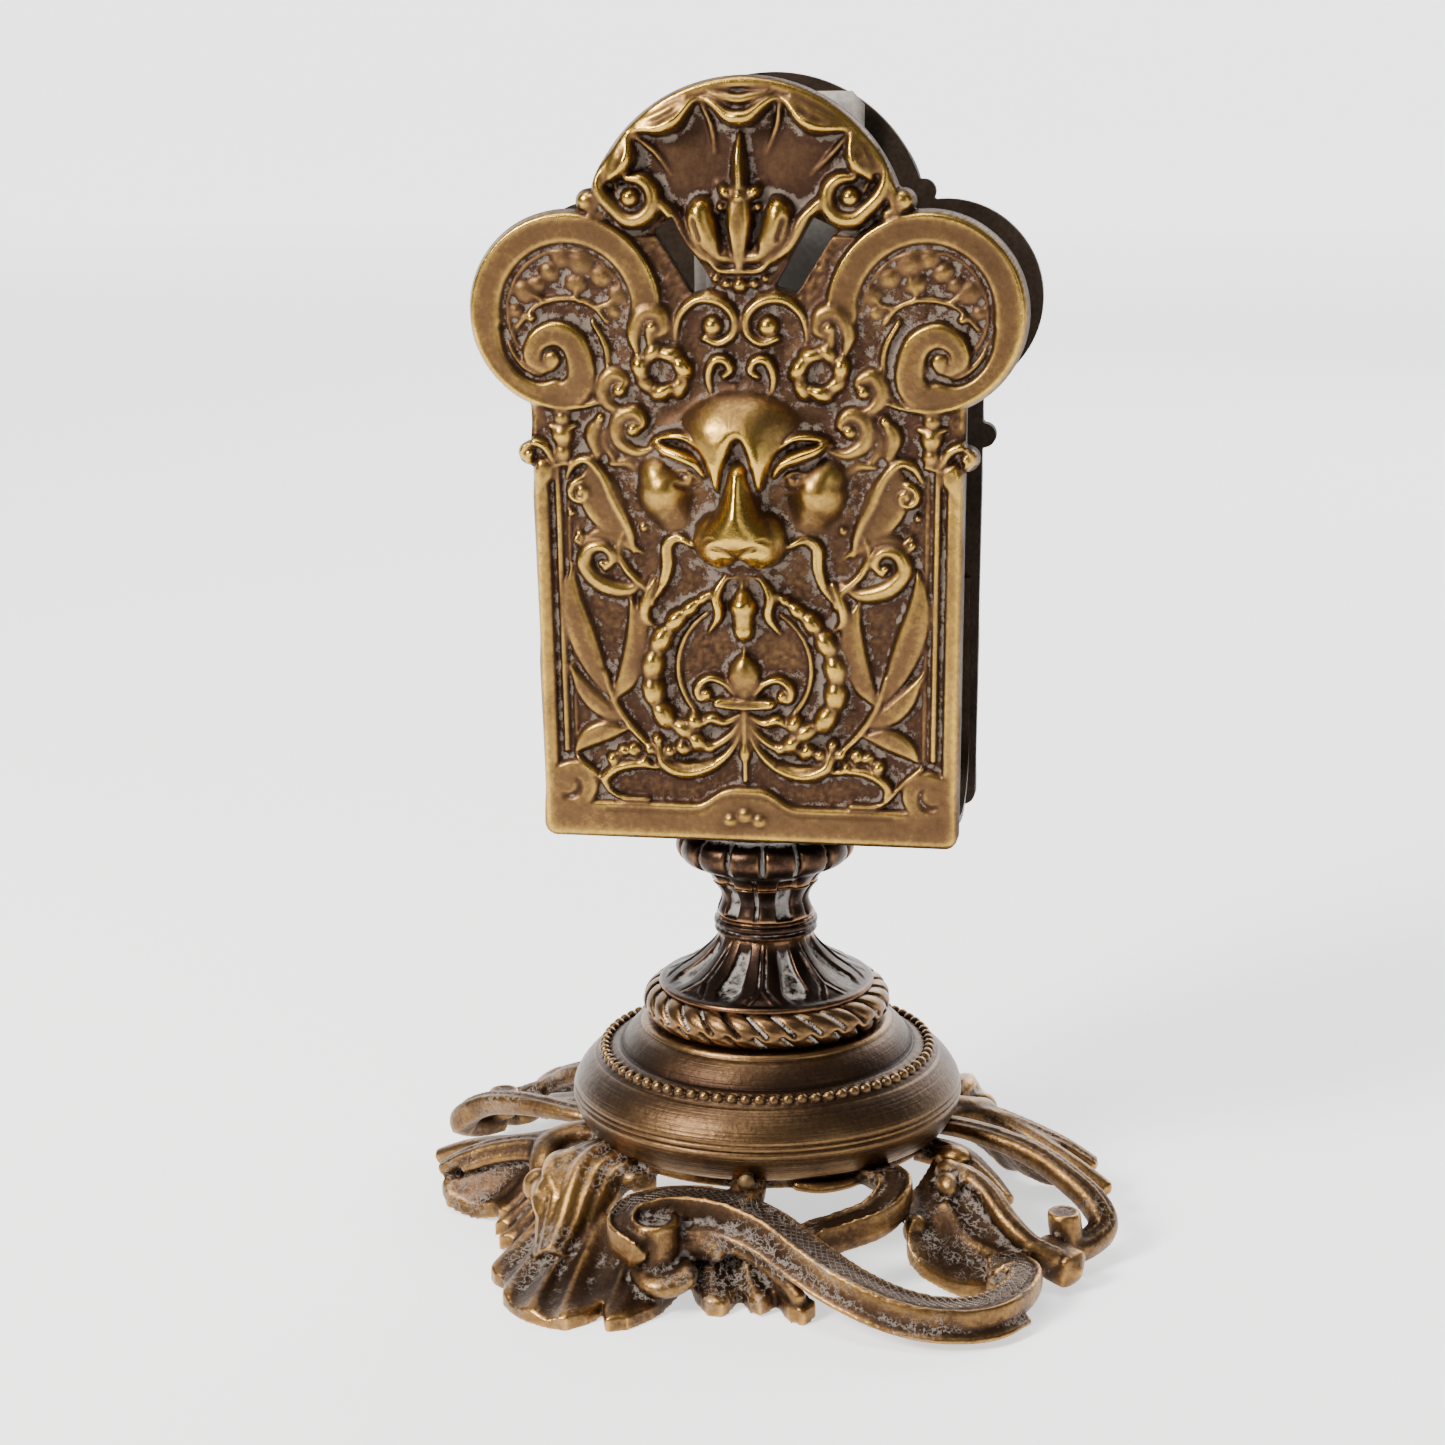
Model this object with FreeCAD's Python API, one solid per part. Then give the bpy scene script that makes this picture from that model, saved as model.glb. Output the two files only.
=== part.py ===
"""Pedestal blotter stand: two relief plates on a U trough, a stem, a hollow dome and a pierced foot.

Row frame in millimetres: +Z up, the table at Z = 0, the stem's axis on X = Y = 0, the front plate
towards -Y. Each sub-part is made by its own function, and main() writes one STEP file per node.
"""
import FreeCAD
import Part
import math
import os

V = FreeCAD.Vector
UP = V(0, 0, 1)
BACKWARD = V(0, 1, 0)

# Driving dimensions of the holder
PLATE_BOTTOM = 58.7      # height of the plates' lower edge above the table
INNER_FACE = 10.8        # from the stem's axis to each plate's inner face
FIELD = 1.5              # thickness of a plate's sunk field
RIM = 2.8                # thickness of a plate's rim, volutes and borders
BODY_HALF_LOW = 28.8     # half width of the plate's body at its foot
BODY_HALF_HIGH = 29.6    # and under the volutes
BODY_HEIGHT = 68.0
ARCH_CENTRE = 81.5       # the crest's circle, measured up from the plate's lower edge
ARCH_RADIUS = 21.7
VOLUTE = (24.1, 72.5)    # centre of a volute, from the plate's centre line and lower edge
VOLUTE_RADIUS = 13.5
EAR = (29.6, 53.4)
KNOB = (21.0, 87.0)
WINDOW = ((4.6, 75.9), (7.2, 75.1), (11.6, 83.5), (9.2, 84.5))

# U trough and the rivets that hold the plates to it
TROUGH_HALF = 28.0
TROUGH_WALL = 1.0
TROUGH_CLEAR = 0.6       # the trough's belly above the plates' lower edge
TROUGH_TOP = 92.0
RIVET_X = 21.0
RIVET_Z = (77.0, 88.0)
RIVET_RADIUS = 1.1

# Stem, dome and foot
ROD_RADIUS = 2.0
NUT_RADIUS = 3.9         # from the nut's axis to its corners
NUT_HEIGHT = 3.2
TOP_NUT_Z = 62.9
WASHER_RADIUS = 5.0
WASHER_THICK = 0.9
BORE_RADIUS = 2.1
LOBE_COUNT = 16
FLUTE_COUNT = 12
DOME_TOP = 29.2
DOME_CEILING = 26.8
DOME_RIM_Z = 14.2
DOME_RIM_RADIUS = 25.6
DOME_BELLY = (28.1, 18.0)
DOME_SHOULDER = (26.4, 21.8)
RING_BOTTOM = 12.4
RING_INNER = 21.5
RING_OUTER = 25.0
TOE_ANGLE = -114         # where the front toe stands, in degrees from +X
TOE_RADIUS = (38.5, 47.0)
HALVES = 2               # the foot is the same again when it is turned by half a turn
PIN_ANGLE = -86
PIN_Z = 15.2
PIN_RADIUS = 0.8

# Blotting slips
SLIP_WIDTH = 22.6
SLIP_OFFSET = 0.3        # the bundle stands a little to the right of the middle
SLIP_BOTTOM = 68.6
SLIP_TOP = 158.0
SLIP_THICK = 0.36
SLIP_PITCH = 0.38
SLIP_COUNT = 6
SLIP_FRONT = 7.3
SLIP_CORNER = 1.4

TROUGH_AXIS_Z = PLATE_BOTTOM + TROUGH_CLEAR + INNER_FACE


def polar(radius, degrees, z):
    a = math.radians(degrees)
    return V(radius * math.cos(a), radius * math.sin(a), z)


def turned(points, arcs=()):
    """A solid of revolution. points are (radius, z); arcs has the indices of points on an arc's middle."""
    edges = []
    i = 0
    ring = [V(r, 0, z) for r, z in points] + [V(points[0][0], 0, points[0][1])]
    while i < len(ring) - 1:
        if i + 1 in arcs:
            edges.append(Part.Arc(ring[i], ring[i + 1], ring[i + 2]).toShape())
            i += 2
        else:
            edges.append(Part.makeLine(ring[i], ring[i + 1]))
            i += 1
    return Part.Face(Part.Wire(edges)).revolve(V(0, 0, 0), UP, 360)


def disc(x, height, radius, thickness, start=0.0):
    """A disc of the front plate, its axis along Y. start is its distance from the inner face."""
    y = -INNER_FACE - start
    return Part.makeCylinder(radius, thickness, V(x, y, PLATE_BOTTOM + height), V(0, -1, 0))


def slab(points, thickness, start=0.0):
    """A prism of the front plate. points are (x, height above the plate's lower edge)."""
    corners = [V(x, -INNER_FACE - start, PLATE_BOTTOM + h) for x, h in points]
    wire = Part.makePolygon(corners + [corners[0]])
    return Part.Face(wire).extrude(V(0, -thickness, 0))


def mirrored(points):
    return [(-x, h) for x, h in points]


def silhouette(thickness, inset=0.0):
    """The plate's outline as a solid, shrunk by inset."""
    low = BODY_HALF_LOW - inset
    high = BODY_HALF_HIGH - inset
    body = slab([(-low, inset), (low, inset), (high, BODY_HEIGHT), (-high, BODY_HEIGHT)], thickness)
    parts = [disc(0, ARCH_CENTRE, ARCH_RADIUS - inset, thickness)]
    for side in (-1, 1):
        parts.append(disc(side * VOLUTE[0], VOLUTE[1], VOLUTE_RADIUS - inset, thickness))
        if not inset:
            parts.append(disc(side * EAR[0], EAR[1], 1.7, thickness))
            parts.append(disc(side * KNOB[0], KNOB[1], 1.7, thickness))
    return body.multiFuse(parts).removeSplitter()


def volute_band(side):
    """The raised scroll: a flat ring, with a smaller coil inside it towards the outer foot of the ring."""
    ring = disc(side * VOLUTE[0], VOLUTE[1], VOLUTE_RADIUS, RIM)
    ring = ring.cut(disc(side * (VOLUTE[0] - 0.3), VOLUTE[1] - 0.2, VOLUTE_RADIUS - 4.9, RIM + 1, -0.5))
    coil = disc(side * (VOLUTE[0] + 1.5), VOLUTE[1] - 5.0, 5.4, RIM)
    return ring.fuse(coil.cut(disc(side * (VOLUTE[0] + 1.9), VOLUTE[1] - 5.4, 1.3, RIM + 1, -0.5)))


def mask():
    """The lion's head: forehead, cheeks, muzzle, nose and mane rolls, each a ball pressed into the plate."""
    balls = [(0, 57, 8.6, 5.2), (0, 50, 11.5, 3.0), (0, 42.5, 5.6, 8.4)]
    for side in (-1, 1):
        balls += [
            (side * 3.4, 41.5, 3.6, 8.2),
            (side * 11.3, 48, 4.4, 4.2),
            (side * 10.6, 64.2, 3.9, 2.6),
            (side * 16.5, 57.0, 3.4, 2.0),
            (side * 19.0, 47.5, 4.4, 1.8),
            (side * 19.0, 38.6, 3.2, 1.8),
        ]
    made = []
    for x, height, radius, proud in balls:
        ball = Part.makeSphere(radius, V(0, 0, 0))
        squash = FreeCAD.Matrix()
        squash.scale(1.0, (proud + FIELD) / radius, 1.0)
        ball = ball.transformGeometry(squash)
        ball.translate(V(x, -INNER_FACE, PLATE_BOTTOM + height))
        made.append(ball)
    front = Part.makeBox(80, 30, 110, V(-40, -INNER_FACE - 30.0 - 0.2, PLATE_BOTTOM))
    whole = made[0].multiFuse(made[1:])
    return whole.common(front)


def ring_and_leaves():
    """The beaded ring under the jaw, the laurel leaves and the foot border of the field."""
    parts = []
    bead_count = 18
    for i in range(bead_count):
        angle = math.radians(115 + i * 310 / (bead_count - 1))
        x = 12.2 * math.cos(angle)
        height = 23.6 + 9.4 * math.sin(angle)
        parts.append(disc(x, height, 1.25, FIELD + 1.6))
    leaves = [
        ((19.0, 23.5), (23.6, 37.5), 1.7),
        ((18.2, 21.0), (14.6, 32.5), 1.6),
        ((16.6, 16.5), (24.0, 23.8), 1.3),
        ((16.6, 15.0), (23.6, 12.6), 1.3),
    ]
    for side in (-1, 1):
        for (x0, h0), (x1, h1), half in leaves:
            length = math.hypot(x1 - x0, h1 - h0)
            nx, nh = -(h1 - h0) / length * half, (x1 - x0) / length * half
            xm, hm = (x0 + x1) / 2, (h0 + h1) / 2
            outline = [(x0, h0), (xm + nx, hm + nh), (x1, h1), (xm - nx, hm - nh)]
            outline = outline if side > 0 else mirrored(outline)
            parts.append(slab(outline, FIELD + 0.9))
        parts.append(disc(side * 25.3, 7.7, 3.4, RIM))
    parts.append(slab([(-7.5, 4), (7.5, 4), (5, 8.2), (-5, 8.2)], RIM))
    parts.append(slab([(-0.6, 8), (0.6, 8), (1.9, 22.5), (0, 27), (-1.9, 22.5)], FIELD + 1.0))
    return parts


def shell_crest():
    """The crest's shell: radiating flutes, two end coils and the leaf that stands in front of them."""
    parts = []
    for i in range(5):
        angle = math.radians(26 + i * 32)
        x = 15.6 * math.cos(angle)
        height = ARCH_CENTRE + 1.5 + 15.6 * math.sin(angle)
        parts.append(disc(x, height, 3.2, RIM + 0.6))
    for side in (-1, 1):
        parts.append(disc(side * 15.0, 87.6, 2.9, RIM + 0.6))
        bract = [(side * 1.0, 78.5), (side * 3.0, 79.5), (side * 5.2, 86.5), (side * 2.2, 84.0)]
        parts.append(slab(bract, RIM + 1.0))
        parts.append(disc(side * 4.5, 71.5, 4.2, RIM).cut(disc(side * 4.5, 71.5, 2.9, RIM, FIELD)))
    parts.append(slab([(-1.3, 78), (1.3, 78), (2.0, 86), (0, 95.5), (-2.0, 86)], RIM + 1.4))
    return parts


def windows(thickness):
    """The two slanting openings beside the crest's foot."""
    return [slab(outline, thickness + 20, -5) for outline in (list(WINDOW), mirrored(WINDOW))]


def plate():
    """The front plate: thin field, raised rim, and its ornament as simple raised forms."""
    sheet = silhouette(FIELD)
    rim = silhouette(RIM).cut(silhouette(RIM + 1, 3.0))
    border = slab([(-28, 0.5), (28, 0.5), (28, 5.9), (-28, 5.9)], RIM)
    parts = [rim, border, volute_band(-1), volute_band(1), mask()]
    parts += ring_and_leaves() + shell_crest()
    whole = sheet.multiFuse(parts)
    for opening in windows(RIM):
        whole = whole.cut(opening)
    for x in (-RIVET_X, RIVET_X):
        for z in RIVET_Z:
            whole = whole.cut(Part.makeCylinder(RIVET_RADIUS, 1.0, V(x, -INNER_FACE, z), V(0, -1, 0)))
    return whole.removeSplitter()


def turned_about(shape, degrees):
    copy = shape.copy()
    copy.rotate(V(0, 0, 0), UP, degrees)
    return copy


def u_trough():
    """A strip bent to a U, which the two plates are riveted to, with a hole for the tie rod in its belly."""
    outer = Part.makeCylinder(INNER_FACE, 2 * TROUGH_HALF, V(-TROUGH_HALF, 0, TROUGH_AXIS_Z), V(1, 0, 0))
    wall_height = TROUGH_TOP - TROUGH_AXIS_Z
    corner = V(-TROUGH_HALF, -INNER_FACE, TROUGH_AXIS_Z)
    outer = outer.fuse(Part.makeBox(2 * TROUGH_HALF, 2 * INNER_FACE, wall_height, corner))
    gap = INNER_FACE - TROUGH_WALL
    length = 2 * TROUGH_HALF + 2
    start = -TROUGH_HALF - 1
    inner = Part.makeCylinder(gap, length, V(start, 0, TROUGH_AXIS_Z), V(1, 0, 0))
    inner = inner.fuse(Part.makeBox(length, 2 * gap, 80, V(start, -gap, TROUGH_AXIS_Z)))
    trough = outer.cut(inner)
    trough = trough.cut(Part.makeCylinder(BORE_RADIUS, 20, V(0, 0, 50), UP))
    for x in (-RIVET_X, RIVET_X):
        for z in RIVET_Z:
            trough = trough.cut(Part.makeCylinder(RIVET_RADIUS, 40, V(x, -20, z), BACKWARD))
    return trough.removeSplitter()


def rivets():
    """Four rivets of the front plate: a round head inside the trough and a shank that ends in the plate."""
    made = []
    head_plane = -INNER_FACE + TROUGH_WALL
    for x in (-RIVET_X, RIVET_X):
        for z in RIVET_Z:
            shank = Part.makeCylinder(RIVET_RADIUS, TROUGH_WALL + 0.95, V(x, head_plane, z), V(0, -1, 0))
            head = Part.makeSphere(2.4, V(x, head_plane - 1.5, z))
            head = head.common(Part.makeBox(6, 3, 6, V(x - 3, head_plane, z - 3)))
            made.append(shank.fuse(head))
    return Part.makeCompound(made)


def saddle_washer():
    """A thick washer, flat above and rounded below to lie in the trough's belly."""
    blank = Part.makeCylinder(5.2, 4.2, V(0, 0, PLATE_BOTTOM), UP)
    belly = Part.makeCylinder(INNER_FACE - TROUGH_WALL, 20, V(-10, 0, TROUGH_AXIS_Z), V(1, 0, 0))
    return blank.common(belly).cut(Part.makeCylinder(BORE_RADIUS, 20, V(0, 0, 50), UP))


def hexagon_nut(z, height):
    r = NUT_RADIUS
    top = z + height
    corners = [polar(r, 60 * i, z) for i in range(6)]
    blank = Part.Face(Part.makePolygon(corners + [corners[0]])).extrude(UP * height)
    chamfer = turned([(0, z), (r - 0.4, z), (r, z + 0.4), (r, top - 0.4), (r - 0.4, top), (0, top)])
    return blank.common(chamfer).cut(Part.makeCylinder(ROD_RADIUS, height + 2, V(0, 0, z - 1), UP))


def tie_rod():
    """The threaded rod, with chamfered ends, that draws trough, stem and dome together."""
    r = ROD_RADIUS
    return turned([(0, 20.8), (r - 0.4, 20.8), (r, 21.2), (r, 67.2), (r - 0.4, 67.6), (0, 67.6)])


def gadroon_cap():
    """The bun under the trough. Shallow lobes run round it, and its top is hollowed to seat the trough."""
    b = BORE_RADIUS
    blank = turned(
        [(b, 49.8), (7.6, 49.8), (9.6, 50.5), (11.9, 52.3), (12.6, 54.4), (11.8, 56.7), (9.2, 58.2),
         (8.4, 58.5), (8.4, 63.0), (b, 63.0)],
        arcs=(3, 5),
    )
    blank = blank.cut(Part.makeCylinder(INNER_FACE, 40, V(-20, 0, TROUGH_AXIS_Z), V(1, 0, 0)))
    grooves = []
    for i in range(LOBE_COUNT):
        grooves.append(Part.makeCylinder(0.55, 7.0, polar(13.1, i * 360 / LOBE_COUNT, 50.6), UP))
    return blank.cut(Part.makeCompound(grooves))


def fluted_cup():
    """The upper stem: a waisted cup with slender flutes."""
    b = BORE_RADIUS
    blank = turned([(b, 44.8), (6.9, 44.8), (6.2, 46.9), (7.6, 49.8), (b, 49.8)], arcs=(2,))
    flutes = []
    for i in range(FLUTE_COUNT):
        flutes.append(Part.makeCylinder(0.5, 5.0, polar(6.9, i * 360 / FLUTE_COUNT, 44.8), UP))
    return blank.cut(Part.makeCompound(flutes))


def collar():
    """The rounded band between the cup and the skirt of leaves."""
    b = BORE_RADIUS
    outline = [(b, 42.2), (6.5, 42.2), (7.3, 42.9), (7.45, 43.6), (7.3, 44.2), (6.9, 44.8), (b, 44.8)]
    return turned(outline, arcs=(3,))


def leaf_flare():
    """The lower stem: a skirt of leaves that spreads over the rope ring, with a spigot inside the ring."""
    b = BORE_RADIUS
    blank = turned(
        [(b, DOME_TOP), (12.3, DOME_TOP), (12.3, 34.5), (15.3, 34.5), (15.5, 35.2), (9.2, 37.4),
         (6.3, 42.2), (b, 42.2)],
        arcs=(5,),
    )
    grooves = []
    for i in range(FLUTE_COUNT):
        groove = Part.makeCylinder(0.5, 10.5, V(8.0, 0, 41.5), V(8.4, 0, -6.0))
        grooves.append(turned_about(groove, i * 360 / FLUTE_COUNT))
    return blank.cut(Part.makeCompound(grooves))


def rope_ring():
    return Part.makeTorus(15.2, 2.6, V(0, 0, DOME_TOP + 2.6), UP)


def dome():
    """The hollow dome: a bulging wall, a beaded step, a shoulder and a flat top with the rod's hole."""
    b = BORE_RADIUS
    shell = turned(
        [(DOME_RIM_RADIUS, DOME_RIM_Z), DOME_BELLY, DOME_SHOULDER, (24.0, 24.4), (23.9, 25.0), (22.5, 25.3),
         (21.0, 25.7), (19.2, 26.8), (18.2, 28.5), (17.9, DOME_TOP), (b, DOME_TOP), (b, DOME_CEILING),
         (15.5, DOME_CEILING), (22.0, 22.6), (25.0, 20.0), (25.8, 17.6), (23.8, DOME_RIM_Z)],
        arcs=(1, 7, 14),
    )
    beads = Part.makeTorus(23.4, 0.6, V(0, 0, 25.2), UP)
    shell = shell.fuse(beads).removeSplitter()
    return shell.cut(pin_holes())


def arm(stations):
    """A tapering round arm through stations of (radius, degrees, z, thickness), with flat ends."""
    points = [polar(r, d, z) for r, d, z, t in stations]
    sections = []
    for i, station in enumerate(stations):
        before = points[max(0, i - 1)]
        after = points[min(len(points) - 1, i + 1)]
        sections.append(Part.Wire([Part.makeCircle(station[3], points[i], after - before)]))
    return Part.makeLoft(sections, True, True)


def leaf_slab(stations):
    """A leaf: a flat tapering slab through stations of (radius, degrees, top z, half width, thickness)."""
    sections = []
    for r, d, top, half, thick in stations:
        centre = polar(r, d, top)
        across = polar(1, d + 90, 0)
        down = V(0, 0, -thick)
        corners = [centre - across * half, centre + across * half]
        corners += [c + down for c in reversed(corners)]
        sections.append(Part.makePolygon(corners + [corners[0]]))
    return Part.makeLoft(sections, True, True)


def foot_half():
    """Half of the foot: a leaf leg, a side leaf, a long S scroll, a curl and a right-hand leaf."""
    trunk = arm([(24.8, -151, 12.4, 2.6), (29, -144, 12.6, 3.3), (33, -134, 10.4, 3.5),
                 (36.5, -122, 6.0, 3.0)])
    leaf = leaf_slab([(30, -128, 8.6, 6.5, 2.4), (36, -120, 5.4, 11.5, 2.4), (42.5, -117, 3.4, 14.5, 2.4),
                      (47, -115, 2.8, 9.5, 2.6), (49, -113, 2.4, 4.5, 2.4)])
    toe_length = TOE_RADIUS[1] - TOE_RADIUS[0]
    toe = turned_about(Part.makeBox(toe_length, 10.0, 2.4, V(TOE_RADIUS[0], -5.0, 0)), TOE_ANGLE)
    feathers = leaf_slab([(31, -92, 9.5, 3.5, 2.0), (34.5, -88, 5.0, 5.5, 2.0), (38, -84, 2.2, 6.5, 2.2)])
    side_leaf = leaf_slab([(23.7, -160, 13.3, 3.5, 2.4), (33, -164, 9.0, 5.0, 2.4),
                           (39, -168, 5.0, 6.0, 2.4), (45, -168, 2.4, 4.5, 2.4)])
    side_curl = arm([(26, -152, 12.4, 2.2), (31.8, -160, 11.4, 2.2), (37.5, -158, 8.0, 2.0),
                     (39.5, -151, 5.0, 1.8), (40.5, -140, 3.2, 1.7)])
    scroll = arm([
        (40.5, -102, 8.6, 2.2), (37.4, -109, 10.0, 2.4), (31.6, -106, 11.2, 2.5), (30.2, -95, 11.4, 2.5),
        (32.6, -84, 10.6, 2.5), (36.4, -75.5, 9.0, 2.5), (40.6, -68, 7.0, 2.5), (45.2, -60.5, 4.8, 2.5),
        (49.6, -54, 3.2, 2.4), (51.8, -47.5, 2.6, 2.5), (50.6, -40.5, 2.6, 2.6), (47.0, -38.5, 3.2, 2.8),
    ])
    curl = arm([(24.6, -40, 12.2, 2.2), (30.5, -44, 11.0, 2.4), (33.6, -54, 9.2, 2.2),
                (34.2, -66, 9.0, 2.2), (36.4, -74, 8.8, 2.2)])
    link = arm([(47.0, -38.5, 3.2, 2.2), (43.5, -34.0, 4.0, 2.2), (41.0, -31.5, 4.6, 1.8)])
    right_leaf = leaf_slab([(23.9, -14, 13.1, 3.6, 2.4), (31, -20, 10.6, 5.5, 2.4), (37, -25, 6.6, 8.0, 2.4),
                            (43, -26, 4.4, 7.5, 2.4), (47.5, -25, 3.6, 3.0, 2.4)])
    boss = arm([(44.6, -24.9, 3.9, 2.3), (50.3, -24.3, 2.9, 2.6)])
    outer = arm([(39, -17, 8.0, 2.0), (46.0, -15.2, 5.2, 2.5), (50.0, -9.6, 3.0, 2.4), (47.8, -4.0, 4.4, 2.2),
                 (44.0, 2.0, 6.0, 2.2), (40.7, 8.0, 7.6, 2.2), (36.0, 15.0, 8.6, 2.2),
                 (31.8, 20.0, 10.4, 2.2)])
    tab = turned_about(Part.makeBox(4.4, 5.0, 5.8, V(25.2, -2.5, 11.2)), PIN_ANGLE)
    left = [trunk, leaf, toe, feathers, side_leaf, side_curl]
    return left + [scroll, curl, link, right_leaf, boss, outer, tab]


def pin_holes():
    holes = []
    for k in range(HALVES):
        hole = Part.makeCylinder(PIN_RADIUS, 9, V(24, 0, PIN_Z), V(1, 0, 0))
        holes.append(turned_about(hole, PIN_ANGLE + 180 * k))
    return Part.makeCompound(holes)


def foot_plate():
    """The pierced foot casting: a ring under the dome's rim and two equal halves of leaves and scrolls."""
    ring = turned([(RING_INNER, RING_BOTTOM), (RING_OUTER, RING_BOTTOM),
                   (RING_OUTER, DOME_RIM_Z), (RING_INNER, DOME_RIM_Z)])
    dome_side = [(DOME_RIM_RADIUS, DOME_RIM_Z), DOME_BELLY, DOME_SHOULDER]
    room = turned([(0, DOME_RIM_Z)] + dome_side + [(0, 30)], arcs=(2,))
    under_table = Part.makeBox(200, 200, 20, V(-100, -100, -20))
    whole = ring
    for k in range(HALVES):
        for piece in foot_half():
            whole = whole.fuse(turned_about(piece, 180 * k).cut(room).cut(under_table))
    return whole.cut(pin_holes())


def foot_pins():
    """Round-headed pins through the tabs into the dome's wall."""
    made = []
    for k in range(HALVES):
        shank = Part.makeCylinder(PIN_RADIUS, 4.6, V(25.1, 0, PIN_Z), V(1, 0, 0))
        head = Part.makeSphere(1.4, V(28.9, 0, PIN_Z)).common(Part.makeBox(3, 4, 4, V(29.6, -2, PIN_Z - 2)))
        made.append(turned_about(shank.fuse(head), PIN_ANGLE + 180 * k))
    return Part.makeCompound(made)


def washer(z):
    """The washer between the dome's ceiling and the lower nut."""
    top = z + WASHER_THICK
    return turned([(BORE_RADIUS, z), (WASHER_RADIUS, z), (WASHER_RADIUS, top), (BORE_RADIUS, top)])


def blotting_slips():
    """A bundle of narrow paper slips with rounded corners, standing close to the back plate."""
    made = []
    half = SLIP_WIDTH / 2
    for i in range(SLIP_COUNT):
        y = SLIP_FRONT + i * SLIP_PITCH
        low = V(SLIP_OFFSET - half, y, SLIP_BOTTOM)
        slip = Part.makeBox(SLIP_WIDTH, SLIP_THICK, SLIP_TOP - SLIP_BOTTOM, low)
        corners = [e for e in slip.Edges if abs(e.Vertexes[0].Y - e.Vertexes[-1].Y) > SLIP_THICK / 2]
        made.append(slip.makeFillet(SLIP_CORNER, corners))
    return Part.makeCompound(made)


def main():
    os.makedirs("parts", exist_ok=True)
    front = plate()
    front_rivets = rivets()
    nodes = {
        "front_plate": front,
        "back_plate": turned_about(front, 180),
        "u_trough": u_trough(),
        "front_rivets": front_rivets,
        "back_rivets": turned_about(front_rivets, 180),
        "saddle_washer": saddle_washer(),
        "top_nut": hexagon_nut(TOP_NUT_Z, NUT_HEIGHT),
        "tie_rod": tie_rod(),
        "gadroon_cap": gadroon_cap(),
        "fluted_cup": fluted_cup(),
        "stem_collar": collar(),
        "leaf_flare": leaf_flare(),
        "rope_ring": rope_ring(),
        "dome": dome(),
        "foot_plate": foot_plate(),
        "foot_pins": foot_pins(),
        "lower_washer": washer(DOME_CEILING - WASHER_THICK),
        "lower_nut": hexagon_nut(DOME_CEILING - WASHER_THICK - NUT_HEIGHT, NUT_HEIGHT),
        "blotting_slips": blotting_slips(),
    }
    for name, shape in nodes.items():
        shape.exportStep("parts/" + name + ".step")
        print(name, "valid", shape.isValid(), "solids", len(shape.Solids), "volume", round(shape.Volume, 1))


main()
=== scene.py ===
from math import cos, pi, radians, sin

import bpy
import numpy as np
from mathutils import Matrix, Vector
from mathutils.geometry import delaunay_2d_cdt


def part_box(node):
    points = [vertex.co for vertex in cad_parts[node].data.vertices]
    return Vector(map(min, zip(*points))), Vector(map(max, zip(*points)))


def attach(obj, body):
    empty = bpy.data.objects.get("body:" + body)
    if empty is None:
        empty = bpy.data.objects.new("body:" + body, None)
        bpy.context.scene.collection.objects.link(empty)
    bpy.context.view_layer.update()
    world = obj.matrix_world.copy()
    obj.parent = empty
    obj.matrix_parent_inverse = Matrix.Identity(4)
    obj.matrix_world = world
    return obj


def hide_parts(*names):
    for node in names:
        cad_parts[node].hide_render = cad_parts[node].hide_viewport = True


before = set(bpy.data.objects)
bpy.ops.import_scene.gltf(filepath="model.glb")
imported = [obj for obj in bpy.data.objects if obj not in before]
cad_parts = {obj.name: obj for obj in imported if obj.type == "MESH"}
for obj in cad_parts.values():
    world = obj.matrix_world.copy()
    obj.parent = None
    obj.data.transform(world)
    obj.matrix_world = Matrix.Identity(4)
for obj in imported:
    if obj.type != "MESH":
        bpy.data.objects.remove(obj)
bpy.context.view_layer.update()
MM = 0.001
MIDDLE = -0.4            # the ornament sits a little left of the outline's middle, in millimetres
PLATE_STEP = 0.28        # the grid of a relief plate, in millimetres
FOOT_VOXEL = 0.36        # the grain that the foot's bars and leaves are joined at, in millimetres
FAR = 9.0                # a distance that is well outside an outline, in millimetres

# ======== relief toolkit ========


def unit(values):
    """Values kept between 0 and 1."""
    return np.clip(values, 0, 1)


def smooth_path(points, per_span=10):
    """A Catmull-Rom curve through the points. A point may carry more numbers, such as a width."""
    p = np.array(points, float)
    if len(p) == 2:
        t = np.linspace(0, 1, per_span + 1)[:, None]
        return p[0] * (1 - t) + p[1] * t
    p = np.vstack([2 * p[0] - p[1], p, 2 * p[-1] - p[-2]])
    t = np.linspace(0, 1, per_span, endpoint=False)[:, None]
    spans = []
    for a, b, c, d in zip(p[:-3], p[1:-2], p[2:-1], p[3:]):
        spans.append(0.5 * (2 * b + (c - a) * t + (2 * a - 5 * b + 4 * c - d) * t ** 2
                            + (3 * b - a - 3 * c + d) * t ** 3))
    spans.append(p[-2:-1])
    return np.vstack(spans)


def spiral(centre, start, end, radius_from, radius_to, count=14):
    """Points of a spiral about centre, from angle start to angle end in degrees."""
    t = np.linspace(0, 1, count)
    a = np.radians(start + (end - start) * t)
    r = radius_from + (radius_to - radius_from) * t
    return [(centre[0] + ri * cos(ai), centre[1] + ri * sin(ai)) for ri, ai in zip(r, a)]


PROFILES = {
    "round": lambda q: np.sqrt(unit(1 - q * q)),
    "flat": lambda q: unit((1 - q) / 0.28) ** 0.6,
    "ridge": lambda q: unit(1 - q) ** 0.8,
    "hollow": lambda q: np.sqrt(unit(1 - q ** 6)) * (0.62 + 0.38 * unit(q) ** 2),
    "veined": lambda q: np.sqrt(unit(1 - q ** 4)) * (0.66 + 0.34 * unit(q / 0.4)),
}


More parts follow.
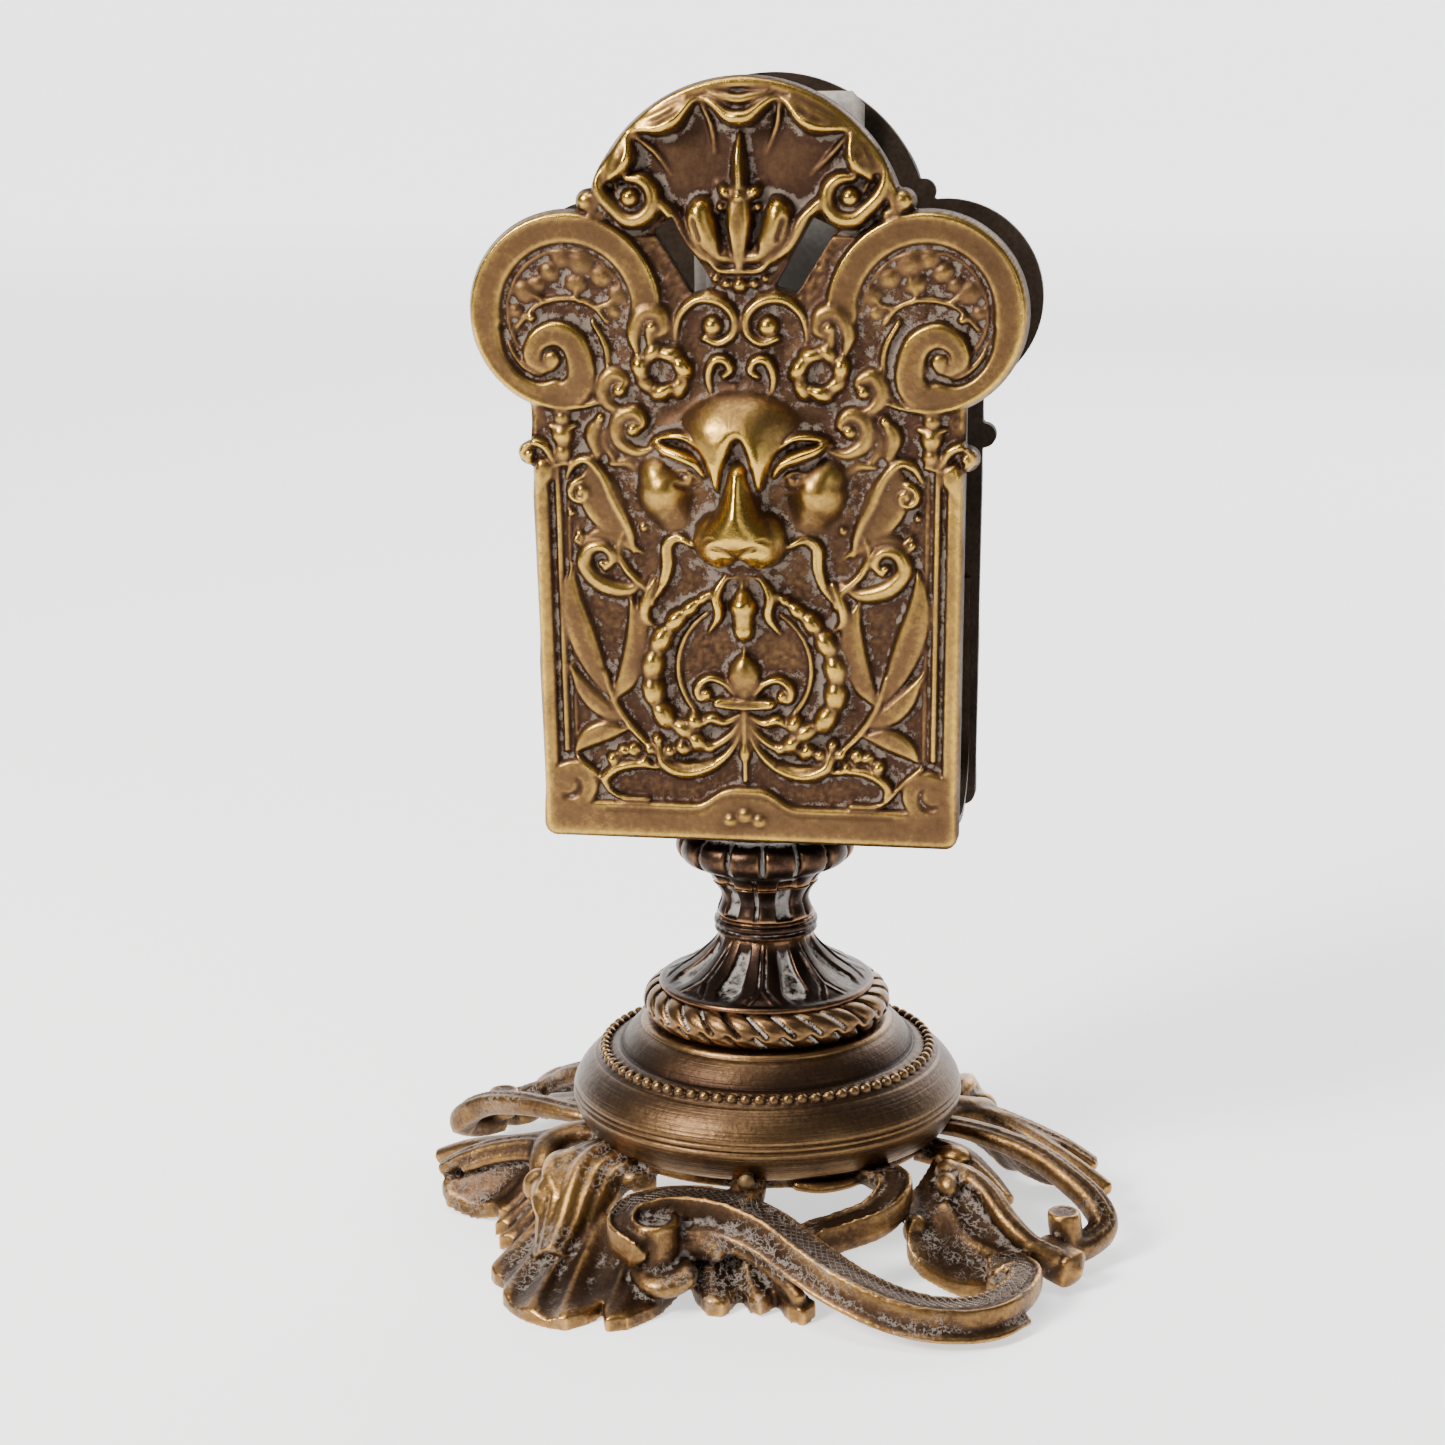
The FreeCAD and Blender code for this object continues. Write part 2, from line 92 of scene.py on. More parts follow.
class Relief:
    """Heights in millimetres over a plate's field, on a grid of x and height above its lower edge."""

    def __init__(self, half_width, low, high, step):
        self.step = step
        self.x = np.arange(-half_width, half_width + step / 2, step)
        self.h = np.arange(low, high + step / 2, step)
        self.X, self.H = np.meshgrid(self.x, self.h)
        self.Z = np.zeros_like(self.X)

    def window(self, x0, x1, h0, h1):
        """The part of the grid that holds a rectangle."""
        i0 = max(0, int((x0 - self.x[0]) / self.step) - 1)
        i1 = min(len(self.x), int((x1 - self.x[0]) / self.step) + 3)
        j0 = max(0, int((h0 - self.h[0]) / self.step) - 1)
        j1 = min(len(self.h), int((h1 - self.h[0]) / self.step) + 3)
        return slice(j0, j1), slice(i0, i1)

    def raise_to(self, where, height):
        self.Z[where] = np.maximum(self.Z[where], height)

    def ball(self, x, h, radius, top, stretch=1.0, turn=0.0, base=0.0):
        """A round boss. stretch lengthens it along the direction turn."""
        reach = radius * max(1, stretch)
        w = self.window(x - reach, x + reach, h - reach, h + reach)
        dx, dh = self.X[w] - x, self.H[w] - h
        c, s = cos(radians(turn)), sin(radians(turn))
        u, v = (dx * c + dh * s) / (radius * stretch), (dh * c - dx * s) / radius
        q = unit(1 - u * u - v * v)
        self.raise_to(w, np.where(q > 0, base + (top - base) * np.sqrt(q), 0))

    def stroke(self, points, width, top, profile="round", sink=False):
        """A moulded strip. width is half its width and top its height: one value each, or one a point."""
        n = len(points)
        widths = np.full(n, float(width)) if np.isscalar(width) else np.array(width, float)
        tops = np.full(n, float(top)) if np.isscalar(top) else np.array(top, float)
        path = smooth_path([(p[0], p[1], w, t) for p, w, t in zip(points, widths, tops)])
        shape = PROFILES[profile]
        reach = path[:, 2].max()
        full = self.window(path[:, 0].min() - reach, path[:, 0].max() + reach,
                           path[:, 1].min() - reach, path[:, 1].max() + reach)
        best = np.full(self.X[full].shape, -1.0)
        j0, i0 = full[0].start, full[1].start
        for a, b in zip(path[:-1], path[1:]):
            r = max(a[2], b[2])
            w = self.window(min(a[0], b[0]) - r, max(a[0], b[0]) + r, min(a[1], b[1]) - r,
                            max(a[1], b[1]) + r)
            dx, dh = self.X[w] - a[0], self.H[w] - a[1]
            ex, eh = b[0] - a[0], b[1] - a[1]
            length = max(ex * ex + eh * eh, 1e-9)
            t = unit((dx * ex + dh * eh) / length)
            distance = np.hypot(dx - t * ex, dh - t * eh)
            half = np.maximum(a[2] + (b[2] - a[2]) * t, 0.02)
            q = distance / half
            height = np.where(q < 1, (a[3] + (b[3] - a[3]) * t) * shape(q), -1.0)
            part = best[w[0].start - j0:w[0].stop - j0, w[1].start - i0:w[1].stop - i0]
            np.maximum(part, height, out=part)
        if sink:
            self.Z[full] -= np.maximum(best, 0)
        else:
            self.raise_to(full, best)

    def leaf(self, points, half, top, profile="veined"):
        """A pointed leaf along the points, widest in its middle."""
        n = len(points)
        t = np.linspace(0, 1, n)
        widths = half * np.clip(np.sin(pi * (0.08 + 0.90 * t)), 0.06, 1)
        tops = top * (0.75 + 0.25 * np.sin(pi * t))
        self.stroke(points, widths, tops, profile)

    def curl(self, centre, radius, turns, start, thick, top, hand=1, eye=0.9):
        """A spiral moulding that winds in to a round eye. hand is 1 when it winds in anticlockwise."""
        count = int(10 * turns) + 4
        path = spiral(centre, start, start + hand * 360 * turns, radius, thick * 0.75, count)
        self.stroke(path, np.linspace(thick, thick * 0.72, count), np.linspace(top, top * 1.1, count))
        self.ball(centre[0], centre[1], thick * eye, top * 1.12)

    def plateau(self, distance, top, bevel=0.35):
        """Raises what lies inside an outline. distance is negative inside."""
        height = unit(-distance / bevel) ** 0.6 * top
        self.Z = np.maximum(self.Z, height)

    def blurred(self, values, sigma):
        """A Gaussian blur. sigma is in millimetres."""
        s = sigma / self.step
        k = int(3 * s) + 1
        kernel = np.exp(-0.5 * (np.arange(-k, k + 1) / s) ** 2)
        kernel /= kernel.sum()
        padded = np.pad(values, k, mode="edge")
        padded = np.apply_along_axis(np.convolve, 0, padded, kernel, "same")
        padded = np.apply_along_axis(np.convolve, 1, padded, kernel, "same")
        return padded[k:-k, k:-k]


class Pen:
    """Draws on one half of a relief. x counts outward from the middle line, to the left when side is -1."""

    def __init__(self, relief, side, middle=MIDDLE):
        self.relief, self.side, self.middle = relief, side, middle

    def place(self, x):
        """Where x lies on the relief."""
        return self.middle + self.side * x

    def ball(self, x, h, *form):
        self.relief.ball(self.place(x), h, *form)

    def stroke(self, points, *form, sink=False):
        self.relief.stroke([(self.place(x), h) for x, h in points], *form, sink=sink)

    def leaf(self, points, *form):
        self.relief.leaf([(self.place(x), h) for x, h in points], *form)

    def curl(self, centre, radius, turns, start, thick, top, hand=1):
        self.relief.curl((self.place(centre[0]), centre[1]), radius, turns, start, thick, top,
                         hand * self.side)


def halves(relief, middle=MIDDLE):
    """A pen for the left half and one for the right half."""
    return [Pen(relief, side, middle) for side in (-1, 1)]


def polygon_distance(X, H, corners):
    """Signed distance to a closed polygon, negative inside."""
    best = np.full(X.shape, 1e9)
    inside = np.zeros(X.shape, bool)
    for (x0, h0), (x1, h1) in zip(corners, corners[1:] + corners[:1]):
        ex, eh = x1 - x0, h1 - h0
        dx, dh = X - x0, H - h0
        t = unit((dx * ex + dh * eh) / (ex * ex + eh * eh))
        best = np.minimum(best, np.hypot(dx - t * ex, dh - t * eh))
        crosses = ((h0 > H) != (h1 > H)) & (X < ex * (H - h0) / (eh if eh else 1e-9) + x0)
        inside ^= crosses
    return np.where(inside, -best, best)


def value_noise(X, Y, scale, seed):
    """Smooth random values between -1 and 1 with features of the given size."""
    rng = np.random.RandomState(seed)
    table = rng.uniform(-1, 1, (256, 256))
    u, v = X / scale, Y / scale
    i, j = np.floor(u).astype(int), np.floor(v).astype(int)
    fu, fv = u - i, v - j
    fu, fv = fu * fu * (3 - 2 * fu), fv * fv * (3 - 2 * fv)
    a, b = table[i % 256, j % 256], table[(i + 1) % 256, j % 256]
    c, d = table[i % 256, (j + 1) % 256], table[(i + 1) % 256, (j + 1) % 256]
    return (a * (1 - fu) + b * fu) * (1 - fv) + (c * (1 - fu) + d * fu) * fv


# ======== the plate's ornament, in millimetres above the field ========

BODY_LOW, BODY_HIGH, BODY_TOP = 28.8, 29.6, 68.0
ARCH_H, ARCH_R = 81.5, 21.7
VOLUTE_X, VOLUTE_H, VOLUTE_R = 24.1, 72.5, 13.5
EAR_X, EAR_H = 29.6, 53.4
KNOB_X, KNOB_H = 21.0, 87.0
RIM_TOP = 1.3
SLOT = [(4.4, 76.1), (7.0, 75.3), (11.9, 83.3), (9.3, 84.7)]


def outline_distance(X, H):
    """Signed distance to the plate's outline, negative inside."""
    low, high = BODY_LOW, BODY_HIGH
    r = 1.8
    body = polygon_distance(X, H, [(-low + r, r), (low - r, r), (high - r, BODY_TOP),
                                   (-high + r, BODY_TOP)]) - r
    d = np.minimum(body, np.hypot(X, H - ARCH_H) - ARCH_R)
    for side in (-1, 1):
        d = np.minimum(d, np.hypot(X - side * VOLUTE_X, H - VOLUTE_H) - VOLUTE_R)
        d = np.minimum(d, np.hypot(X - side * EAR_X, H - EAR_H) - 1.7)
        d = np.minimum(d, np.hypot(X - side * KNOB_X, H - KNOB_H) - 1.7)
    return d


def slot_distance(X, H):
    """Signed distance to the two slots that are pierced under the shell."""
    left = [(-x, h) for x, h in SLOT]
    return np.minimum(polygon_distance(X, H, SLOT), polygon_distance(X, H, left)) - 0.25


def frame_border(r):
    """The flat border of the body, its raised lines, the foot band with its hump, and the corner bosses."""
    edge = BODY_LOW + (BODY_HIGH - BODY_LOW) * r.H / BODY_TOP
    inward = edge - np.abs(r.X)
    rows = r.H < 51.5
    side_band = np.where(rows, np.maximum(inward - 2.5, -inward), FAR)
    r.plateau(side_band, RIM_TOP, 0.4)
    for centre, half, top in ((3.55, 0.62, 1.15), (4.85, 0.4, 0.8)):
        line = np.where(rows & (r.H > 12.0), np.abs(inward - centre) - half, FAR)
        r.plateau(line, top, 0.35)
    hump = 5.4 + 2.5 * np.exp(-((r.X - MIDDLE) / 5.0) ** 4)
    foot = np.maximum(r.H - hump, -(r.H + 1))
    r.plateau(foot, RIM_TOP, 0.45)
    inner_line = np.abs(r.H - (hump - 1.3)) - 0.22
    inner_line = np.where(np.abs(r.X) < 20, inner_line, FAR)
    r.Z -= 0.28 * unit(-inner_line / 0.2)
    for pen in halves(r, 0.0):
        boss = np.hypot(r.X - pen.side * 24.6, r.H - 7.4) - 3.7
        r.plateau(boss, RIM_TOP + 0.05, 0.5)
        r.stroke(spiral((pen.side * 25.2, 7.2), 90 + pen.side * 40, 90 + pen.side * 220, 1.5, 1.5, 8),
                 [0.1, 0.3, 0.42, 0.45, 0.45, 0.4, 0.3, 0.1], 0.5, sink=True)
        pen.stroke([(14.0, 5.6), (18.5, 6.0), (21.5, 9.3), (24.0, 11.4)], 0.35, 1.55)


def trefoil_mark(r):
    """A small raised trefoil on the foot band."""
    for dx, dh, rad in ((-2.0, 0, 1.1), (0, 0.7, 1.25), (2.0, 0, 1.1)):
        r.ball(MIDDLE + dx, 3.0 + dh, rad, RIM_TOP + 0.55, base=RIM_TOP - 0.2)


def volute(pen):
    """A broad flat scroll that winds over, round and in to a coil with a hooked eye."""
    cx, ch = VOLUTE_X, VOLUTE_H
    arch = spiral((cx, ch), 183, -90, VOLUTE_R - 2.45, VOLUTE_R - 2.35, 22)
    coil = [(22.3, 63.2), (22.2, 66.0), (23.3, 68.6), (25.7, 69.7), (27.9, 68.6), (28.6, 66.6),
            (27.4, 65.2)]
    path = [(cx - 12.6, ch - 3.0)] + arch + coil
    widths = np.concatenate([[2.0], np.linspace(2.35, 2.5, 22), [2.4, 2.2, 2.1, 2.0, 1.9, 1.7, 1.2]])
    tops = np.concatenate([[1.0], np.full(22, 1.45), [1.6, 1.75, 1.85, 1.9, 1.9, 1.8, 1.5]])
    pen.stroke(path, widths, tops, "flat")
    pen.ball(26.0, 66.4, 2.6, 1.9)
    hook = [(33.0, 70.7), (32.3, 67.3), (30.4, 64.6), (27.8, 63.5), (25.6, 64.4), (24.6, 66.1),
            (25.5, 67.6), (27.1, 67.3), (27.3, 66.2)]
    pen.stroke(hook, [0.5, 0.5, 0.5, 0.5, 0.45, 0.45, 0.4, 0.35, 0.2],
               [0.8, 1.3, 1.4, 1.4, 1.3, 1.2, 1.1, 0.9, 0.4], "ridge", sink=True)
    outer = spiral((cx, ch), 176, -120, VOLUTE_R - 0.75, VOLUTE_R - 0.75, 26)
    pen.stroke(outer, 0.42, 1.68)
    rim = spiral((cx, ch), 178, -60, VOLUTE_R - 5.2, VOLUTE_R - 5.4, 20)
    pen.stroke(rim, 0.32, 0.95)
    edge = [(22.6, 59.6), (19.8, 61.4), (18.6, 64.6), (18.8, 68.0), (20.6, 71.4)]
    pen.stroke(edge, [0.3, 0.5, 0.6, 0.6, 0.4], 1.3)
    berries = [(17.0, 74.8, 1.5), (19.3, 77.2, 1.7), (22.0, 79.0, 2.0), (24.6, 79.6, 1.6),
               (22.8, 76.2, 1.5), (26.4, 77.8, 1.5), (29.8, 75.2, 1.8), (31.2, 72.6, 1.2),
               (17.6, 72.6, 1.2), (28.0, 76.2, 1.2)]
    for x, h, radius in berries:
        pen.ball(x, h, radius, 0.65 + radius * 0.22, 1.15, pen.side * 30)
    stems = [[(18.6, 71.2), (20.6, 73.4), (24.0, 74.3), (28.0, 73.4), (31.0, 70.5)],
             [(20.0, 73.0), (18.4, 73.6), (17.4, 74.4)], [(22.4, 73.9), (22.8, 75.0), (22.0, 77.0)],
             [(27.0, 73.8), (28.6, 74.8), (29.6, 75.0)]]
    for stem in stems:
        pen.stroke(stem, 0.45, 1.0)
    pen.ball(28.9, 71.7, 0.8, 1.4)


def crest(r):
    """The arched top: a plain rim, a shell with a rolled scalloped lip, its flutes and end curls."""
    rim = np.abs(np.hypot(r.X, r.H - ARCH_H) - (ARCH_R - 0.95)) - 1.0
    r.plateau(np.where(r.H > 83.0, rim, FAR), RIM_TOP, 0.4)
    base = (MIDDLE, 80.5)
    inside = (np.hypot(r.X, r.H - ARCH_H) < ARCH_R - 1.6) & (r.H > 77.0)
    angle = np.arctan2(r.H - base[1], r.X - base[0])
    reach = np.hypot(r.X - base[0], r.H - base[1]) / 19.0
    bed = -0.75 * unit(reach) * (1 - 0.45 * np.abs(np.cos((angle - 1.57) * 2.6 + 1.57)) ** 5)
    r.Z = np.where(inside & (r.Z <= 0.001), bed, r.Z)
    ends = [(17.6, 89.6), (14.6, 96.0), (5.4, 100.4)]
    marks = [(MIDDLE - x, h) for x, h in ends] + [(MIDDLE + x, h) for x, h in reversed(ends)]
    sags = [1.0, 1.3, 2.6, 1.3, 1.0]
    for (x0, h0), (x1, h1), sag in zip(marks[:-1], marks[1:], sags):
        toward = np.array([base[0] - (x0 + x1) / 2, base[1] - (h0 + h1) / 2])
        toward /= np.linalg.norm(toward)

        def across(t, drop):
            return (x0 + (x1 - x0) * t + toward[0] * drop, h0 + (h1 - h0) * t + toward[1] * drop)
        swag = [across(0.03, 0), across(0.2, sag * 0.30), across(0.38, sag * 0.92), across(0.5, sag),
                across(0.62, sag * 0.92), across(0.8, sag * 0.30), across(0.97, 0)]
        r.stroke(swag, [0.45, 0.95, 1.25, 1.35, 1.25, 0.95, 0.45], [1.5, 2.2, 2.7, 2.9, 2.7, 2.2, 1.5])
        back = [across(0.12, -0.6), across(0.35, sag * 0.2 - 0.5), across(0.5, sag * 0.35 - 0.6),
                across(0.65, sag * 0.2 - 0.5), across(0.88, -0.6)]
        r.stroke(back, [0.5, 0.9, 1.0, 0.9, 0.5], [1.5, 1.9, 2.0, 1.9, 1.5])
        crease = [across(0.15, 0.05), across(0.36, sag * 0.45), across(0.64, sag * 0.45),
                  across(0.85, 0.05)]
        r.stroke(crease, [0.15, 0.3, 0.3, 0.15], 0.45, "ridge", sink=True)
    for x, h in marks[1:-1]:
        aim = np.array([base[0] - x, base[1] - h])
        inner = (x + aim[0] * 0.36, h + aim[1] * 0.36)
        bowed = ((x + inner[0]) / 2 + 0.5, (h + inner[1]) / 2 + 0.2)
        r.stroke([(x, h), bowed, inner], [0.5, 0.38, 0.1], [1.3, 0.5, -0.1])
    for pen in halves(r):
        cx, ch = 14.3, 87.4
        ring = [(cx + 2.75 * cos(a), ch + 2.75 * sin(a))
                for a in np.radians([-35, -75, -115, -160, 155, 115, 75])]
        pen.stroke([(19.0, 93.6), (19.3, 90.6), (18.6, 88.0)] + ring,
                   [0.6, 0.9, 1.15, 1.25, 1.35, 1.4, 1.4, 1.3, 1.1, 0.7],
                   [1.3, 1.6, 1.9, 2.1, 2.3, 2.4, 2.4, 2.3, 2.2, 1.9])
        pen.ball(cx + 0.3, ch + 0.1, 1.55, 2.5)
        pen.stroke([(16.2, 92.0), (16.9, 89.9), (16.4, 88.0)], 0.3, 0.8)
        r.ball(pen.side * KNOB_X, KNOB_H, 1.6, 1.5)
        r.ball(pen.side * (KNOB_X - 1.8), KNOB_H - 1.8, 1.1, 1.3)


def crest_leaves(r):
    """The bracts, the spear and the bowl that stand before the shell."""
    middle = Pen(r, 1)
    middle.stroke([(0, 96.0), (-0.1, 92.8), (0, 89.6), (0, 87.5)], [0.2, 1.0, 1.3, 0.9],
                  [1.0, 2.4, 2.7, 2.2], "ridge")
    middle.stroke([(0, 88.4), (0, 84.5), (0, 80.0), (0, 78.2)], [1.5, 1.9, 1.1, 0.6], [2.0, 2.8, 2.4, 1.9],
                  "veined")
    middle.ball(0, 87.6, 1.1, 2.8)
    for pen in halves(r):
        pen.ball(1.9, 88.2, 0.95, 2.3, 1.35, 90 - pen.side * 38)
        pen.ball(2.5, 86.3, 0.75, 1.9)
        pen.stroke([(0.9, 79.6), (2.8, 80.4), (4.6, 83.0), (5.2, 85.6), (4.6, 87.0)],
                   [0.9, 1.5, 2.2, 2.0, 0.8], [2.1, 2.6, 3.3, 3.2, 2.0])
        pen.ball(3.4, 82.0, 1.3, 3.0, 1.4, 90 - pen.side * 20)
        pen.stroke([(4.0, 79.4), (6.8, 81.6), (8.4, 84.6), (10.6, 87.0), (10.9, 88.2)],
                   [0.9, 1.2, 1.2, 0.8, 0.3], [1.7, 2.3, 2.4, 2.0, 1.2])
        pen.stroke([(2.3, 80.6), (2.5, 83.4), (2.2, 85.2)], 0.35, 1.0, "ridge", sink=True)
        pen.stroke([(5.2, 82.2), (6.0, 84.8)], 0.35, 0.9, "ridge", sink=True)
        pen.stroke([(0.2, 78.0), (2.8, 78.2), (4.3, 80.0)], [0.7, 0.6, 0.5], 2.0)
        pen.ball(1.9, 76.3, 0.85, 1.5)
        pen.ball(3.3, 77.0, 0.7, 1.3)
        pen.stroke([(2.2, 74.8), (5.6, 76.0), (8.4, 80.6), (9.6, 84.4)], [0.5, 0.45, 0.4, 0.4], 1.2)
    middle.ball(0, 76.2, 1.25, 2.3)


def brow_scrolls(r):
    """The pair of C scrolls over the mask, and the two hooked locks between the ears."""
    for pen in halves(r):
        path = [(8.0, 66.9), (8.8, 69.4), (8.2, 72.2), (5.8, 74.2), (2.8, 74.0), (0.9, 72.2), (1.0, 69.9),
                (2.8, 68.6), (4.9, 69.2)]
        pen.stroke(path, [0.35, 0.6, 0.75, 0.85, 0.95, 0.95, 0.9, 0.85, 0.7],
                   [1.0, 1.4, 1.6, 1.8, 2.0, 2.1, 2.1, 2.1, 2.0])
        pen.ball(3.7, 70.8, 1.7, 2.5)
        pen.stroke([(8.6, 68.6), (7.2, 71.6), (5.4, 72.9)], 0.3, 0.45, sink=True)
        pen.stroke([(2.0, 67.5), (5.5, 66.6), (8.4, 65.4)], 0.25, 0.5)
        lock = [(3.9, 61.4), (4.4, 64.0), (3.6, 66.2), (2.0, 66.3), (1.3, 65.0), (2.2, 64.2)]
        pen.stroke(lock, [0.4, 0.8, 0.95, 0.9, 0.75, 0.7], [1.4, 2.0, 2.4, 2.5, 2.4, 2.3])
        pen.stroke([(0.4, 61.0), (1.0, 63.2)], [0.5, 0.3], [1.5, 1.2])


def soft_max(a, b, k):
    """The larger of two heights, rounded where they meet."""
    blend = np.clip(k - np.abs(a - b), 0, None) / k
    return np.maximum(a, b) + blend ** 2 * k / 4


def inflated(X, H, outline, rise):
    """0 at a closed outline, growing to 1 over a rounded shoulder, rise wide; and what lies inside."""
    loop = [tuple(point) for point in smooth_path([*outline, outline[0]], 6)[:-1]]
    inside = -polygon_distance(X, H, loop)
    t = unit(inside / rise)
    return np.sqrt(unit(1 - (1 - t) ** 2)), inside > 0


def mirrored(points):
    """The points of an outline's right half, followed by their mirror images in the opposite order."""
    return points + [(-x, h) for x, h in reversed(points) if abs(x) > 0.01]


def lion_face(r):
    """The lion's forehead with its two brow lobes, the leafy brows, the eyes, cheeks, nose and muzzle."""
    w = r.window(MIDDLE - 17, MIDDLE + 17, 30, 64)
    X, H = r.X[w] - MIDDLE, r.H[w]

    def mound(x, h, a, b, proud, turn=0.0, power=0.6):
        c, s = cos(radians(turn)), sin(radians(turn))
        dx, dh = X - x, H - h
        q = 1 - ((dx * c + dh * s) / a) ** 2 - ((dh * c - dx * s) / b) ** 2
        return np.where(q > 0, proud * unit(q) ** power, 3.0 * q)

    face = mound(0, 49.5, 13.0, 12.0, 2.2)
    for side in (-1, 1):
        for form in ((side * 10.4, 48.8, 4.4, 4.7, 4.8, side * 8),
                     (side * 9.0, 45.2, 3.0, 2.9, 2.7, side * -18),
                     (side * 11.8, 51.6, 2.8, 2.6, 3.2, side * -20)):
            face = soft_max(face, mound(*form, power=0.7), 2.4)
        face = soft_max(face, mound(side * 6.7, 50.0, 2.6, 1.8, 2.7, side * 14), 1.2)
    muzzle = mirrored([(0.8, 53.6), (2.0, 52.4), (2.4, 50.4), (2.7, 48.6), (3.4, 47.2), (4.8, 46.2),
                       (6.1, 44.8), (6.6, 42.8), (6.3, 40.9), (5.2, 39.3), (3.0, 38.5), (1.3, 39.0),
                       (0.0, 39.8)])
    swell, where = inflated(X, H, muzzle, 4.0)
    slope = np.interp(H, [38.6, 40.5, 43.0, 46.0, 50.0, 53.0, 55.0], [1.2, 2.0, 2.5, 2.2, 1.2, 0.3, 0.0])
    ridge = unit(1 - (X / np.interp(H, [38, 43, 46, 50], [6.0, 4.9, 3.4, 2.8])) ** 2)
    form = np.where(where, 1.6 + 4.3 * swell + slope * ridge, -1)
    face = soft_max(face, form, 0.6)
    brow = mirrored([(0.0, 63.6), (4.6, 63.0), (8.0, 61.0), (9.0, 58.0), (7.6, 55.4), (5.6, 53.4),
                     (4.3, 51.4), (2.9, 48.9), (1.9, 50.6), (1.2, 53.0), (0.0, 55.8)])
    swell, where = inflated(X, H, brow, 1.7)
    dome = unit(1 - (X / 9.6) ** 2 - (np.clip(H - 55.5, 0, 9) / 7.4) ** 2) ** 0.8
    dome *= 1 + 0.045 * np.sin(X * 0.55 + H * 0.35) * np.sin(H * 0.5 - X * 0.25)
    lobe = np.exp(-((np.abs(X) - 3.0) / 1.5) ** 2) * unit((56.5 - H) / 3.5)
    face = np.maximum(face, np.where(where, (6.0 * dome + 0.7 * lobe) * (0.5 + 0.5 * swell), -1))
    r.Z[w] = np.maximum(r.Z[w], np.where(face > 0, face, -9))

    def groove(points, half, depth):
        for pen in halves(r):
            pen.stroke(points, half, depth, "ridge", sink=True)

    def raised(points, half, top):
        for pen in halves(r):
            pen.stroke(points, half, top)
    raised([(4.6, 51.0), (5.9, 52.9), (8.2, 53.9), (10.4, 54.7), (11.8, 56.0)], [0.5, 1.15, 1.35, 1.1, 0.3],
           [4.6, 5.3, 5.1, 4.3, 3.0])
    raised([(5.6, 55.0), (7.6, 56.3), (10.2, 56.2), (12.4, 55.2)], [0.3, 0.75, 0.8, 0.3],
           [4.4, 4.3, 3.6, 2.4])
    groove([(5.4, 53.9), (7.4, 55.1), (9.8, 55.5), (11.6, 55.6)], [0.2, 0.42, 0.42, 0.2],
           [0.6, 1.2, 1.1, 0.4])
    raised([(5.0, 50.0), (7.0, 51.7), (9.4, 51.6)], [0.3, 0.5, 0.3], [2.8, 3.7, 3.1])
    for pen in halves(r):
        pen.ball(7.0, 50.6, 1.05, 3.7)
    groove([(6.9, 50.5), (7.1, 50.5)], 0.36, 0.7)
    groove([(5.4, 49.6), (7.0, 49.3), (8.6, 50.0)], [0.2, 0.3, 0.2], 0.7)
    groove([(2.6, 43.2), (3.8, 43.0), (4.5, 42.2)], [0.15, 0.34, 0.15], [0.2, 0.5, 0.2])
    groove([(0.0, 40.6), (1.4, 41.6), (2.9, 42.2), (4.2, 41.4)], [0.3, 0.32, 0.28, 0.12],
           [0.6, 0.8, 0.6, 0.2])
    Pen(r, 1).stroke([(0, 40.8), (0, 40.2), (0, 39.4)], [0.2, 0.4, 0.5], [0.2, 0.6, 1.0], "ridge",
                     sink=True)


def moustache_and_mouth(r):
    """The moustache's ribbons, the sunk mouth, the chin's strands and the tongue that holds the ring."""
    middle = Pen(r, 1)
    w = r.window(MIDDLE - 10, MIDDLE + 10, 33, 41)
    mouth = np.hypot((r.X[w] - MIDDLE) / 8.2, (r.H[w] - 36.6) / 3.4)
    r.Z[w] = np.where((mouth < 1) & (r.Z[w] < 2.4), np.minimum(r.Z[w], -0.25 + 0.9 * mouth ** 4), r.Z[w])
    for pen in halves(r):
        ribbon = [(6.6, 41.7), (8.6, 42.5), (10.2, 41.4), (10.3, 38.6), (11.0, 36.0), (12.3, 33.6)]
        pen.stroke(ribbon, [0.7, 1.0, 1.15, 1.1, 0.8, 0.25], [3.4, 3.0, 2.8, 2.5, 2.2, 1.4])
        pen.stroke([(x - 0.15, h + 0.1) for x, h in ribbon[1:-1]], 0.25, 0.4, sink=True)
        strand = [(2.2, 37.4), (3.7, 34.6), (3.4, 31.8), (4.9, 29.2)]
        pen.stroke(strand, [0.6, 0.95, 0.9, 0.25], [1.4, 2.1, 2.0, 1.1])
        pen.stroke([(0.8, 37.2), (2.6, 36.4), (3.6, 34.4)], 0.35, 1.4)
        tuft = [(12.2, 36.4), (13.4, 33.6), (13.6, 31.2), (12.2, 29.8)]
        pen.stroke(tuft, [0.6, 1.1, 0.9, 0.3], [1.5, 1.9, 1.7, 1.1])
    middle.ball(0, 33.0, 2.1, 3.1)
    middle.ball(0, 29.9, 1.7, 2.7, 1.15, 90)
    middle.stroke([(0, 34.4), (0, 33.0), (0, 30.6), (0, 29.2)], [1.5, 1.8, 1.6, 1.2], [2.2, 2.8, 2.6, 2.2])
    middle.stroke([(0, 37.6), (0, 36.0), (0, 34.8)], [1.4, 1.1, 0.8], [0.9, 1.2, 1.6])


